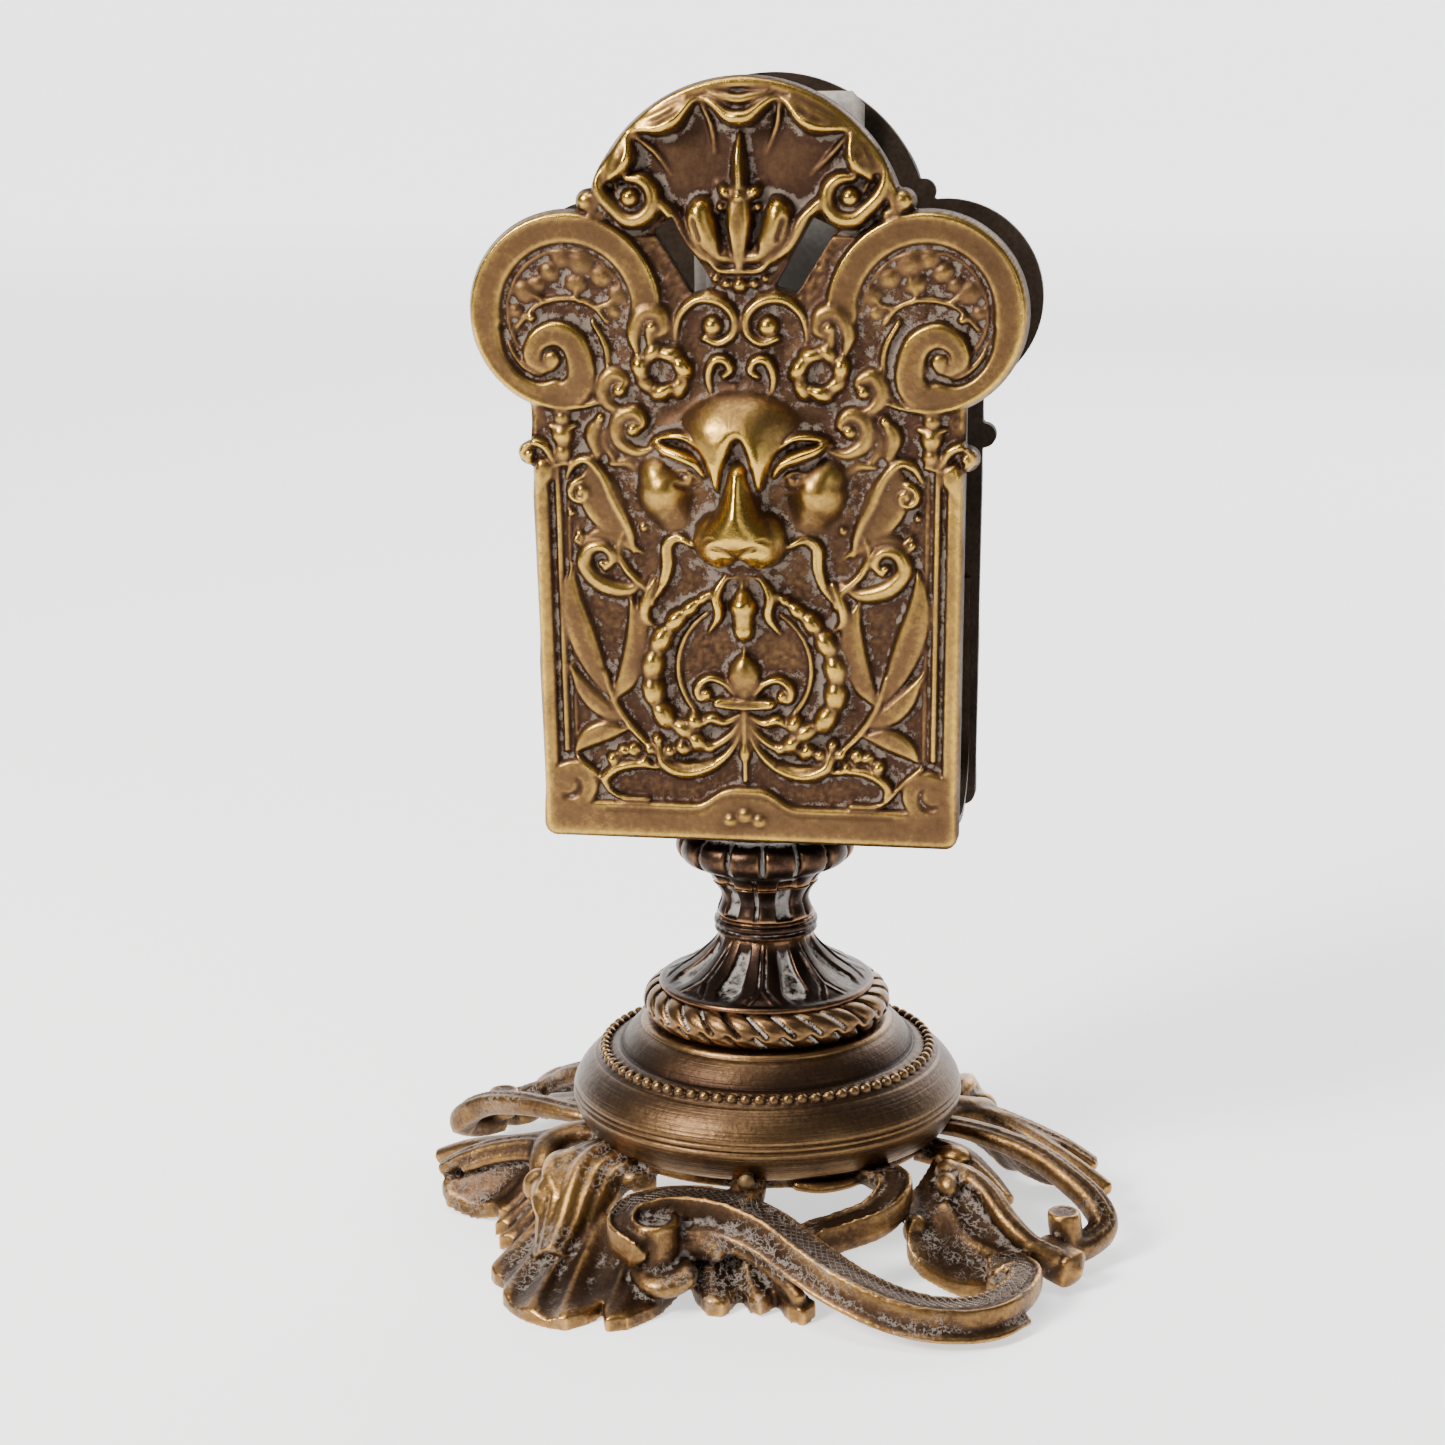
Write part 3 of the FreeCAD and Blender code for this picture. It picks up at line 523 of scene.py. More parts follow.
def mane(pen):
    """One side of the mane: the ear in its ring of tufts, and the curls that frame the face."""
    r, side = pen.relief, pen.side
    cx, ch = pen.place(10.6), 64.7
    tufts = 7
    for i in range(tufts):
        a = radians(360 * i / tufts + 14)
        out = 2.75 + 0.28 * sin(5 * a + side)
        r.ball(cx + out * cos(a), ch + out * sin(a), 1.5, 2.7 + 0.35 * sin(3 * a), 1.5,
               np.degrees(a) + 68 * side)
    r.stroke(spiral((cx, ch), 0, 360, 2.65, 2.65, 20), 1.2, 2.2)
    w = r.window(cx - 2, cx + 2, ch - 2, ch + 2)
    hole = np.hypot(r.X[w] - cx, r.H[w] - ch)
    r.Z[w] = np.where(hole < 1.55, np.minimum(r.Z[w], 0.4 + 0.5 * (hole / 1.55) ** 4), r.Z[w])
    locks = [
        ([(13.9, 67.2), (14.4, 69.8), (13.0, 72.4), (10.9, 72.2), (10.4, 70.2), (11.9, 69.4)], 1.0, 2.0),
        ([(12.0, 68.6), (12.4, 70.6)], 0.7, 2.3),
        ([(14.8, 59.2), (17.6, 60.0), (18.8, 62.2), (17.6, 64.2), (15.8, 63.6), (16.0, 61.9)], 0.95, 1.9),
        ([(11.6, 54.6), (14.2, 54.0), (16.6, 55.6), (16.6, 58.2), (14.6, 59.2), (13.4, 57.8), (14.5, 56.8)],
         1.0, 2.2),
        ([(19.8, 53.6), (20.3, 56.4), (18.9, 58.6)], 0.85, 1.6),
        ([(17.4, 52.8), (18.7, 55.2), (18.2, 57.4)], 0.65, 1.4),
        ([(13.2, 50.6), (15.3, 52.4), (18.0, 52.2)], 0.7, 1.5),
    ]
    for path, half, top in locks:
        n = len(path)
        widths = 1.7 * half * np.clip(np.sin(pi * (np.arange(n) + 0.8) / (n + 0.3)), 0.35, 1)
        pen.stroke(path, widths, top)
    for x, h, radius, top in ((11.9, 70.6, 1.2, 2.6), (16.4, 62.2, 1.25, 2.6), (14.6, 57.0, 1.35, 2.8),
                              (19.2, 58.4, 0.95, 2.1)):
        pen.ball(x, h, radius, top)


def side_spray(pen):
    """The spray beside the face: an arched strand, a wing leaf, three curls and a small ring."""
    arch = [(24.2, 50.2), (23.0, 52.2), (20.9, 52.6), (19.0, 50.4), (17.6, 47.2), (15.8, 43.6),
            (15.0, 40.2)]
    pen.stroke(arch, [0.4, 0.8, 1.0, 1.1, 1.2, 1.0, 0.5], [1.2, 1.6, 1.9, 2.0, 2.0, 1.8, 1.2])
    pen.stroke([(x + 0.9, h - 0.5) for x, h in arch[2:6]], 0.3, 0.5, sink=True)
    wing = [(20.6, 51.8), (19.8, 48.6), (18.0, 45.2), (14.6, 42.2)]
    pen.leaf(wing, 3.2, 1.9, "hollow")
    pen.leaf([(22.6, 50.6), (21.6, 47.4), (19.4, 44.6), (16.4, 42.4)], 1.3, 1.5, "round")
    second = [(22.6, 41.0), (19.6, 42.6), (16.4, 41.6), (13.6, 39.8)]
    pen.leaf(second, 1.5, 1.4, "round")
    pen.curl((22.2, 48.3), 1.6, 1.0, 90, 0.78, 1.9, -1)
    pen.curl((22.8, 41.9), 0.85, 0.9, 90, 0.4, 1.3)
    curl = [(13.4, 36.4), (15.8, 35.0), (18.6, 35.4), (20.6, 36.6), (21.9, 38.6), (21.0, 40.6),
            (19.0, 40.9), (17.9, 39.4), (18.9, 38.0)]
    pen.stroke(curl, [0.6, 1.2, 1.5, 1.5, 1.4, 1.3, 1.1, 1.0, 0.8],
               [1.2, 1.6, 1.9, 2.0, 2.1, 2.1, 2.1, 2.0, 1.9])
    pen.ball(19.4, 38.7, 0.75, 2.1)
    branch = [(16.4, 43.0), (17.2, 40.4), (15.9, 37.6), (13.2, 35.0), (12.4, 33.0)]
    pen.stroke(branch, [0.35, 0.7, 0.8, 0.7, 0.4], 1.6)
    for x, h, radius in ((14.2, 46.6, 1.0), (13.6, 43.6, 0.9), (15.0, 49.2, 0.9), (20.4, 44.8, 0.7),
                         (23.6, 45.4, 0.6)):
        pen.ball(x, h, radius, 1.3)


def stalk_and_ear(pen):
    """The knobbed stalk under the volute, and the small scroll at the shoulder."""
    for h, radius, top in ((58.3, 1.35, 1.6), (56.0, 1.7, 1.9), (53.6, 1.45, 1.7)):
        pen.ball(25.0, h, radius, top, 1.15, 90)
    pen.stroke([(23.2, 57.3), (25.0, 57.0), (26.8, 57.3)], 0.4, 1.5)
    pen.stroke([(26.2, 52.4), (27.6, 54.6), (29.6, 55.0), (30.6, 53.6), (29.6, 52.4)],
               [0.7, 0.85, 0.8, 0.7, 0.6], [1.5, 1.8, 1.9, 1.8, 1.7])
    pen.ball(29.5, 53.5, 0.75, 1.9)
    pen.leaf([(28.6, 48.4), (27.6, 51.0), (28.4, 53.0)], 1.5, 1.8)
    pen.stroke([(24.2, 52.3), (27.4, 51.6)], 0.45, 1.5)


def laurel(pen):
    """The spray of long pointed leaves in the lower corner."""
    pen.stroke([(13.6, 13.4), (16.0, 16.0), (18.2, 19.6), (19.4, 23.6)], [0.6, 0.7, 0.65, 0.5], 1.5)
    leaves = [
        ([(19.2, 20.6), (21.0, 24.4), (22.9, 29.4), (23.9, 34.0), (23.6, 38.6)], 2.2),
        ([(18.6, 19.6), (16.2, 22.8), (14.8, 27.0), (14.8, 30.6), (15.8, 34.2)], 2.1),
        ([(17.2, 16.8), (19.8, 18.4), (22.2, 20.8), (24.6, 24.6)], 1.7),
        ([(16.6, 15.4), (19.4, 15.2), (22.0, 14.0), (24.0, 11.8)], 1.8),
    ]
    for path, half in leaves:
        pen.leaf(path, half, 1.5)


def knocker_ring(r):
    """The ring of swelling beads that hangs from the mask's tongue, with a fine ring inside it."""
    beads = [(5.6, 34.0, 0.9, 40), (7.4, 32.6, 1.2, 45), (9.4, 30.9, 1.5, 50), (11.4, 28.2, 1.75, 62),
             (12.6, 24.8, 1.9, 80), (12.6, 21.2, 1.9, 96), (11.2, 17.8, 1.75, 120), (8.4, 15.8, 1.5, 145)]
    for pen in halves(r):
        for x, h, radius, turn in beads:
            angle = 180 - turn if pen.side > 0 else turn
            pen.ball(x, h, radius, 0.9 + radius * 1.05, 1.5, angle)
            pen.stroke([(x - 0.3, h), (x + 0.3, h)], 0.16, 0.12, sink=True)
        arc = [(9.2 * cos(a), 24.4 + 9.0 * sin(a)) for a in np.radians(np.linspace(58, -52, 12))]
        pen.stroke(arc, np.linspace(0.35, 0.6, 12), 1.1)
        pen.stroke([(4.6, 34.8), (6.6, 33.4)], 0.6, 1.6)


def fleur(r):
    """The small lily inside the ring, the bar under it and the fan of stems below."""
    middle = Pen(r, 1)
    middle.stroke([(0, 27.8), (0, 26.2), (0, 25.0), (0, 23.3), (0, 21.4)], [0.15, 0.5, 1.5, 2.5, 1.7],
                  [1.0, 1.4, 2.0, 2.3, 1.8])
    middle.stroke([(-3.6, 19.6), (0, 19.4), (3.6, 19.6)], 0.85, 2.0, "flat")
    middle.stroke([(-3.2, 19.6), (3.2, 19.6)], 0.2, 0.5, sink=True)
    for pen in halves(r):
        arm = [(1.4, 20.9), (2.8, 22.4), (4.8, 23.0), (6.4, 21.8), (6.2, 20.2), (4.9, 20.2)]
        pen.stroke(arm, [0.7, 0.7, 0.75, 0.8, 0.75, 0.6], [1.5, 1.6, 1.7, 1.8, 1.7, 1.6])
        pen.ball(5.2, 20.8, 0.95, 2.0)
        pen.stroke([(0, 18.4), (2.6, 16.9), (4.6, 17.4), (6.2, 16.2)], [0.3, 0.8, 1.0, 0.5],
                   [1.2, 1.6, 1.9, 1.5])
        pen.stroke([(0, 18.2), (1.9, 15.2), (4.6, 13.4), (7.4, 12.9)], [0.3, 0.7, 0.85, 0.6],
                   [1.2, 1.5, 1.6, 1.4])
        pen.stroke([(0, 18.0), (1.4, 13.8), (4.2, 11.0), (8.0, 9.9), (11.2, 11.0), (12.2, 14.2)],
                   [0.3, 0.6, 1.0, 1.4, 1.2, 0.5], [1.2, 1.5, 1.9, 2.3, 2.1, 1.4])
        pen.stroke([(4.4, 11.3), (8.0, 10.3), (10.8, 11.5)], 0.25, 0.5, sink=True)
    middle.stroke([(0, 18.4), (0, 14.0), (0, 8.6)], [0.5, 0.55, 0.4], 1.6)
    middle.stroke([(0, 14.4), (0, 12.6), (0, 11.0)], [0.3, 1.1, 0.3], [1.3, 1.8, 1.3])


def acanthus(pen):
    """The lobed scroll leaves at the foot of the field."""
    lobes = [(6.9, 16.9, 1.35, 2.3), (8.4, 15.4, 1.1, 2.1), (6.6, 14.2, 1.5, 2.5), (8.6, 13.2, 1.3, 2.3),
             (5.0, 13.4, 1.0, 2.0), (10.4, 12.6, 1.0, 2.0), (12.1, 14.2, 0.9, 1.9), (13.2, 12.8, 1.0, 1.9),
             (15.4, 12.6, 1.1, 2.1), (17.0, 12.3, 1.0, 2.0), (18.4, 11.2, 1.1, 2.1), (14.0, 11.0, 0.9, 1.8)]
    for x, h, radius, top in lobes:
        pen.ball(x, h, radius, top, 1.2, 90 - pen.side * 35)
    pen.stroke([(12.0, 10.2), (15.2, 10.6), (17.8, 10.0), (19.6, 8.4), (19.2, 6.6)],
               [0.5, 0.9, 1.0, 0.9, 0.4], [1.4, 1.8, 2.0, 1.8, 1.2])
    for x, h in ((7.7, 15.9), (7.6, 13.8), (14.6, 11.8), (16.6, 11.4)):
        pen.stroke([(x, h), (x + 0.8, h + 1.0)], 0.28, 0.6, sink=True)


def stippled_ground(r):
    """The field between the ornaments is matted with small rough dimples."""
    low = unit(1 - np.maximum(r.Z, 0) / 0.9)
    fine = value_noise(r.X + 50, r.H, 0.62, 11) + 0.6 * value_noise(r.X + 80, r.H + 7, 0.36, 12)
    broad = value_noise(r.X + 20, r.H + 3, 2.4, 13)
    shell = ((np.hypot(r.X, r.H - ARCH_H) < ARCH_R - 1.2) & (r.H > 82)).astype(float)
    r.Z += low * (0.13 * fine + 0.08 * broad) * (1 - 0.9 * shell)
    r.Z += 0.02 * value_noise(r.X + 5, r.H + 9, 1.1, 14)


def plate_relief(step):
    """The whole relief of a plate. Returns the Relief with its heights above the field in millimetres."""
    r = Relief(38.4, -0.6, 104.0, step)
    frame_border(r)
    trefoil_mark(r)
    crest(r)
    for plain, pen in zip(halves(r, 0.0), halves(r)):
        volute(plain)
        stalk_and_ear(plain)
        side_spray(pen)
        mane(pen)
        laurel(pen)
        acanthus(pen)
    crest_leaves(r)
    brow_scrolls(r)
    lion_face(r)
    moustache_and_mouth(r)
    knocker_ring(r)
    fleur(r)
    r.Z = r.blurred(r.Z, 0.18)
    # the ground swells between ornaments that stand close together, most of all round the mask
    by_face = unit((22 - np.abs(r.X)) / 4)
    by_face = by_face * unit((r.H - 33) / 5) * unit((77 - r.H) / 4)
    fill = r.blurred(np.maximum(r.Z, 0), 1.5) * (0.30 + 0.45 * by_face)
    r.Z = np.where(r.Z < fill + 0.4, soft_max(r.Z, np.where(r.H > 82.5, -FAR, fill), 0.4), r.Z)
    stippled_ground(r)
    edge = outline_distance(r.X, r.H)
    r.Z -= 0.5 * unit(1 + edge / 0.7) ** 2
    return r


# ======== meshes, their wear, and the pieces ========


def neighbours_mean(points, edges):
    """The mean place of each vertex's neighbours."""
    n = len(points)
    count = np.maximum(np.bincount(edges.ravel(), minlength=n), 1)
    mean = np.empty_like(points)
    for k in range(points.shape[1]):
        column = points[:, k]
        mean[:, k] = (np.bincount(edges[:, 0], column[edges[:, 1]], n)
                      + np.bincount(edges[:, 1], column[edges[:, 0]], n)) / count
    return mean


def store(mesh, name, values):
    """Keeps one number for each vertex of a mesh, for its material to read."""
    layer = mesh.attributes.new(name, "FLOAT", "POINT")
    layer.data.foreach_set("value", values)


def add_object(name, data):
    """A new object in the scene, made of a mesh, a light or a camera."""
    thing = bpy.data.objects.new(name, data)
    bpy.context.collection.objects.link(thing)
    return thing


EVEN_WEAR = 0.42         # the wear of a flat place


def mark_wear(mesh, fine=(5, 0.10), broad=(60, 0.75), gain=1.0, lift=0.0, crust=0.0):
    """Stores how proud each vertex stands of its surroundings, for the rubbed and the hollow finish.

    fine and broad are each a number of smoothing steps and the rise over them, in millimetres, that
    counts in full. lift adds to the wear, and crust to the old polish.
    """
    n = len(mesh.vertices)
    points = np.empty(n * 3)
    mesh.vertices.foreach_get("co", points)
    points = points.reshape(-1, 3) / MM
    normals = np.empty(n * 3)
    mesh.vertex_normals.foreach_get("vector", normals)
    normals = normals.reshape(-1, 3)
    edges = np.empty(len(mesh.edges) * 2, int)
    mesh.edges.foreach_get("vertices", edges)
    edges = edges.reshape(-1, 2)
    smooth, stands = points, {}
    for i in range(1, broad[0] + 1):
        smooth = 0.5 * smooth + 0.5 * neighbours_mean(smooth, edges)
        if i in (fine[0], broad[0]):
            stands[i] = ((points - smooth) * normals).sum(1)
    fine_rise = np.clip(stands[fine[0]] / fine[1], -1, 1)
    broad_rise = np.clip(stands[broad[0]] / broad[1], -1, 1)
    hollow = 0.45 * -fine_rise + 0.75 * -broad_rise
    for _ in range(2):
        hollow = 0.5 * hollow + 0.5 * neighbours_mean(hollow[:, None], edges)[:, 0]
    hollow = hollow + crust
    store(mesh, "wear", unit(EVEN_WEAR + lift + gain * (0.17 * fine_rise + 0.34 * broad_rise)))
    store(mesh, "hollow", unit(hollow))


def new_mesh(name, points, faces):
    """A mesh from points in millimetres."""
    mesh = bpy.data.meshes.new(name)
    mesh.from_pydata((np.asarray(points, float) * MM).tolist(), [], faces)
    mesh.update()
    return mesh


def add_piece(name, points, faces, material, slot, node, **more):
    """A piece from points in millimetres."""
    finish_piece(name, new_mesh(name, points, faces), material, slot, node, **more)


def finish_piece(name, mesh, material, slot, node, body="stand", flat_from=None, inner=None, wear=None):
    """Shades, wears and paints a mesh, hides the CAD node it stands for, and parents it to its body's
    empty.

    Faces from flat_from on are shaded flat, in the inner material.
    """
    shade = np.ones(len(mesh.polygons), bool)
    if flat_from is not None:
        shade[flat_from:] = False
    mesh.polygons.foreach_set("use_smooth", shade)
    mark_wear(mesh, **(wear or {}))
    mesh.materials.append(material)
    if inner is not None:
        mesh.materials.append(inner)
        mesh.polygons.foreach_set("material_index", (~shade).astype(np.int32))
    piece = add_object(name, mesh)
    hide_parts(node)
    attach(piece, body)


def grid_faces(rows, columns, close_rows=False, close_columns=False, start=0):
    """Quads over a grid of rows by columns, closed round in either direction."""
    r = np.arange(rows if close_rows else rows - 1)
    c = np.arange(columns if close_columns else columns - 1)
    R, C = np.meshgrid(r, c, indexing="ij")
    r1, c1 = (R + 1) % rows, (C + 1) % columns
    quads = np.stack([R * columns + C, R * columns + c1, r1 * columns + c1, r1 * columns + C], -1)
    return (quads.reshape(-1, 4) + start).tolist()


# ======== materials ========


HATCH_LINES = 2.9        # how closely the scrolls' hatching is set, in radians to the millimetre


def new_material(name):
    """A material, its node tree and its shader."""
    material = bpy.data.materials.new(name)
    material.use_nodes = True
    tree = material.node_tree
    return material, tree, tree.nodes["Principled BSDF"]


def link(tree, a, b):
    tree.links.new(a, b)


def noise(tree, scale, detail=4.0, rough=0.55, stretch=None):
    """A noise texture in object space. stretch squeezes it along each axis."""
    place = tree.nodes.new("ShaderNodeTexCoord").outputs["Object"]
    if stretch:
        mapping = tree.nodes.new("ShaderNodeMapping")
        mapping.inputs["Scale"].default_value = stretch
        link(tree, place, mapping.inputs["Vector"])
        place = mapping.outputs["Vector"]
    node = tree.nodes.new("ShaderNodeTexNoise")
    node.inputs["Scale"].default_value = scale
    node.inputs["Detail"].default_value = detail
    node.inputs["Roughness"].default_value = rough
    link(tree, place, node.inputs["Vector"])
    return node.outputs["Fac"]


def math_node(tree, kind, a, b=None, c=None, clamp=False):
    """A Math node of one to three numbers or sockets."""
    node = tree.nodes.new("ShaderNodeMath")
    node.operation = kind
    node.use_clamp = clamp
    for socket, value in zip(node.inputs, (a, b, c)):
        if value is None:
            continue
        if isinstance(value, (int, float)):
            socket.default_value = value
        else:
            link(tree, value, socket)
    return node.outputs[0]


def ramp(tree, factor, stops):
    """A colour ramp. stops are (position, colour)."""
    node = tree.nodes.new("ShaderNodeValToRGB")
    elements = node.color_ramp.elements
    while len(elements) < len(stops):
        elements.new(0.5)
    for element, (place, colour) in zip(elements, stops):
        element.position = place
        element.color = (*colour, 1)
    link(tree, factor, node.inputs["Fac"])
    return node.outputs["Color"]


def map_range(tree, value, a, b, c, d):
    """value from the range a to b, mapped to c to d."""
    node = tree.nodes.new("ShaderNodeMapRange")
    node.inputs["From Min"].default_value = a
    node.inputs["From Max"].default_value = b
    node.inputs["To Min"].default_value = c
    node.inputs["To Max"].default_value = d
    link(tree, value, node.inputs["Value"])
    return node.outputs["Result"]


def mix_colour(tree, factor, a, b):
    node = tree.nodes.new("ShaderNodeMix")
    node.data_type = "RGBA"
    link(tree, factor, node.inputs["Factor"])
    for socket, value in ((node.inputs["A"], a), (node.inputs["B"], b)):
        if isinstance(value, tuple):
            socket.default_value = (*value, 1)
        else:
            link(tree, value, socket)
    return node.outputs["Result"]


def stored(tree, name):
    """A number that store() kept on the mesh."""
    node = tree.nodes.new("ShaderNodeAttribute")
    node.attribute_name = name
    return node.outputs["Fac"]


def vary(tree, value, by, amount):
    """value, moved up and down by a noise that averages a half."""
    return math_node(tree, "MULTIPLY_ADD", math_node(tree, "SUBTRACT", by, 0.5), amount, value)


def add_bump(tree, shader, height, strength, distance):
    node = tree.nodes.new("ShaderNodeBump")
    node.inputs["Strength"].default_value = strength
    node.inputs["Distance"].default_value = distance
    link(tree, height, node.inputs["Height"])
    link(tree, node.outputs["Normal"], shader.inputs["Normal"])


def object_axes(tree):
    """The separate x, y and z of a point of the object."""
    node = tree.nodes.new("ShaderNodeSeparateXYZ")
    link(tree, tree.nodes.new("ShaderNodeTexCoord").outputs["Object"], node.inputs["Vector"])
    return node.outputs


def bronze(name, dark, brown, gold, residue=(0.36, 0.32, 0.28), shift=0.0, residue_at=0.45, amount=1.0,
           rough=(0.62, 0.30), from_shape=True, grain=1.0, patch=0.34, turning=False, hatched=False,
           fine_crust=0.0):
    """Aged bronze: dark with pale old polish in hollows, brown on the flats, golden where it is rubbed."""
    material, tree, shader = new_material(name)
    patches = noise(tree, 170, 5.0, 0.6)
    specks = noise(tree, 1500, 3.0, 0.6)
    cloud = noise(tree, 60, 3.0, 0.5)
    worn = stored(tree, "wear") if from_shape else EVEN_WEAR
    level = vary(tree, worn, patches, patch)
    level = vary(tree, level, specks, 0.30)
    level = vary(tree, level, cloud, 0.24)
    level = math_node(tree, "ADD", level, shift, clamp=True)
    middle = tuple((a + b) / 2 for a, b in zip(dark, brown))
    warm = tuple(a * 0.62 + b * 0.38 for a, b in zip(brown, gold))
    colour = ramp(tree, level, [(0.08, dark), (0.30, middle), (0.46, brown), (0.64, warm), (0.86, gold)])
    roughness = map_range(tree, level, 0.2, 0.85, rough[0], rough[1])
    if from_shape:
        crumbs = map_range(tree, noise(tree, 620, 6.0, 0.75), 0.38, 0.64, 0.2, 1.6)
        crust = math_node(tree, "MULTIPLY", stored(tree, "hollow"), crumbs)
        if fine_crust:
            off_zero = math_node(tree, "SUBTRACT", noise(tree, 760, 4.0, 0.6), 0.5)
            threads = map_range(tree, math_node(tree, "ABSOLUTE", off_zero), 0.0, 0.05, fine_crust, 0.0)
            areas = map_range(tree, noise(tree, 90, 2.0), 0.42, 0.6, 0.0, 1.0)
            crust = math_node(tree, "MULTIPLY_ADD", threads, areas, crust)
        crust = map_range(tree, crust, residue_at, residue_at + 0.32, 0.0, amount)
        colour = mix_colour(tree, crust, colour, residue)
        roughness = math_node(tree, "MULTIPLY_ADD", crust, 0.4, roughness, clamp=True)
        link(tree, map_range(tree, crust, 0.0, 1.0, 1.0, 0.05), shader.inputs["Metallic"])
    else:
        shader.inputs["Metallic"].default_value = 1.0
    link(tree, roughness, shader.inputs["Roughness"])
    pits = noise(tree, 900, 4.0, 0.65)
    marks = noise(tree, 500, 2.0, 0.5, (0.25, 1.0, 1.6))
    height = math_node(tree, "MULTIPLY_ADD", marks, 0.35, pits)
    if turning:
        wave = noise(tree, 4200, 1.0, 0.4, (0.012, 0.012, 1.0))
        height = math_node(tree, "MULTIPLY_ADD", wave, 0.8, height)
    if hatched:
        waves = []
        for way in ("ADD", "SUBTRACT"):
            slant = math_node(tree, way, stored(tree, "hatch_along"), stored(tree, "hatch_across"))
            wave = math_node(tree, "SINE", math_node(tree, "MULTIPLY", slant, HATCH_LINES))
            waves.append(math_node(tree, "ABSOLUTE", wave))
        cells = map_range(tree, math_node(tree, "MINIMUM", *waves, clamp=True), 0.1, 0.6, 0, 1)
        cut = math_node(tree, "MULTIPLY", math_node(tree, "SUBTRACT", cells, 1.0), stored(tree, "hatch_on"))
        height = math_node(tree, "MULTIPLY_ADD", cut, 4.5, height)
        colour = mix_colour(tree, math_node(tree, "MULTIPLY", cut, -0.75, clamp=True), colour, residue)
    link(tree, colour, shader.inputs["Base Color"])
    add_bump(tree, shader, height, 0.42 * grain, 0.16 * MM)
    return material


def paper(name):
    """Soft grey blotting paper with fibres and old ink stains, and painted shade that darkens it towards
    its foot.
    """
    material, tree, shader = new_material(name)
    fibres = noise(tree, 1400, 6.0, 0.7)
    stain = noise(tree, 120, 4.0, 0.6)
    level = vary(tree, stain, fibres, 0.5)
    colour = ramp(tree, level, [(0.25, (0.13, 0.115, 0.10)), (0.45, (0.25, 0.225, 0.20)),
                                (0.62, (0.38, 0.35, 0.31))])
    # painted shade: the slips turn almost black towards their foot, where they stand deep between the two
    # plates
    painted_shade_low = map_range(tree, object_axes(tree)["Z"], 0.138, 0.152, 0.78, 0.0)
    colour = mix_colour(tree, painted_shade_low, colour, (0.045, 0.036, 0.03))
    link(tree, colour, shader.inputs["Base Color"])
    shader.inputs["Roughness"].default_value = 0.92
    add_bump(tree, shader, fibres, 0.3, 0.1 * MM)
    return material


plate_metal = bronze("plate_metal", (0.044, 0.023, 0.015), (0.118, 0.064, 0.028), (0.52, 0.32, 0.062),
                     residue=(0.215, 0.170, 0.135), residue_at=0.58, amount=0.62, shift=-0.07,
                     rough=(0.54, 0.22), fine_crust=0.3)
inner_metal = bronze("inner_metal", (0.014, 0.010, 0.008), (0.048, 0.034, 0.025), (0.10, 0.07, 0.045),
                     from_shape=False, rough=(0.85, 0.62))
stem_metal = bronze("stem_metal", (0.009, 0.006, 0.005), (0.034, 0.019, 0.013), (0.22, 0.115, 0.055),
                    residue=(0.33, 0.305, 0.28), residue_at=0.12, amount=0.8, shift=-0.10,
                    rough=(0.42, 0.25))
rope_metal = bronze("rope_metal", (0.012, 0.007, 0.005), (0.050, 0.027, 0.015), (0.30, 0.165, 0.065),
                    residue=(0.44, 0.40, 0.36), residue_at=0.14, shift=-0.09, rough=(0.44, 0.26))
dome_metal = bronze("dome_metal", (0.020, 0.011, 0.008), (0.055, 0.031, 0.017), (0.20, 0.115, 0.048),
                    shift=-0.03, residue_at=0.95, amount=0.5, rough=(0.48, 0.32), turning=True, patch=0.34,
                    grain=1.5)
foot_metal = bronze("foot_metal", (0.016, 0.010, 0.007), (0.068, 0.038, 0.021), (0.44, 0.24, 0.075),
                    residue=(0.20, 0.165, 0.14), residue_at=0.31, amount=0.8, shift=-0.02,
                    rough=(0.52, 0.29), hatched=True, fine_crust=0.75, grain=1.7)
dull_metal = bronze("dull_metal", (0.012, 0.009, 0.007), (0.042, 0.028, 0.019), (0.11, 0.07, 0.04),
                    from_shape=False)
pin_metal = bronze("pin_metal", (0.04, 0.026, 0.017), (0.15, 0.095, 0.045), (0.36, 0.25, 0.11),
                   from_shape=False)
rod_metal = bronze("rod_metal", (0.040, 0.036, 0.033), (0.12, 0.11, 0.10), (0.24, 0.22, 0.20),
                   from_shape=False)
slip_paper = paper("slip_paper")

# ======== the two relief plates ========

PLATE_BOTTOM = 58.7
FIELD_FACE = 12.3
INNER_FACE = 10.8
DEEPEST = 20.68


def plate_distance(x, h):
    """Signed distance to the plate with its slots cut out, negative in the metal."""
    return np.maximum(outline_distance(x, h), -slot_distance(x, h))


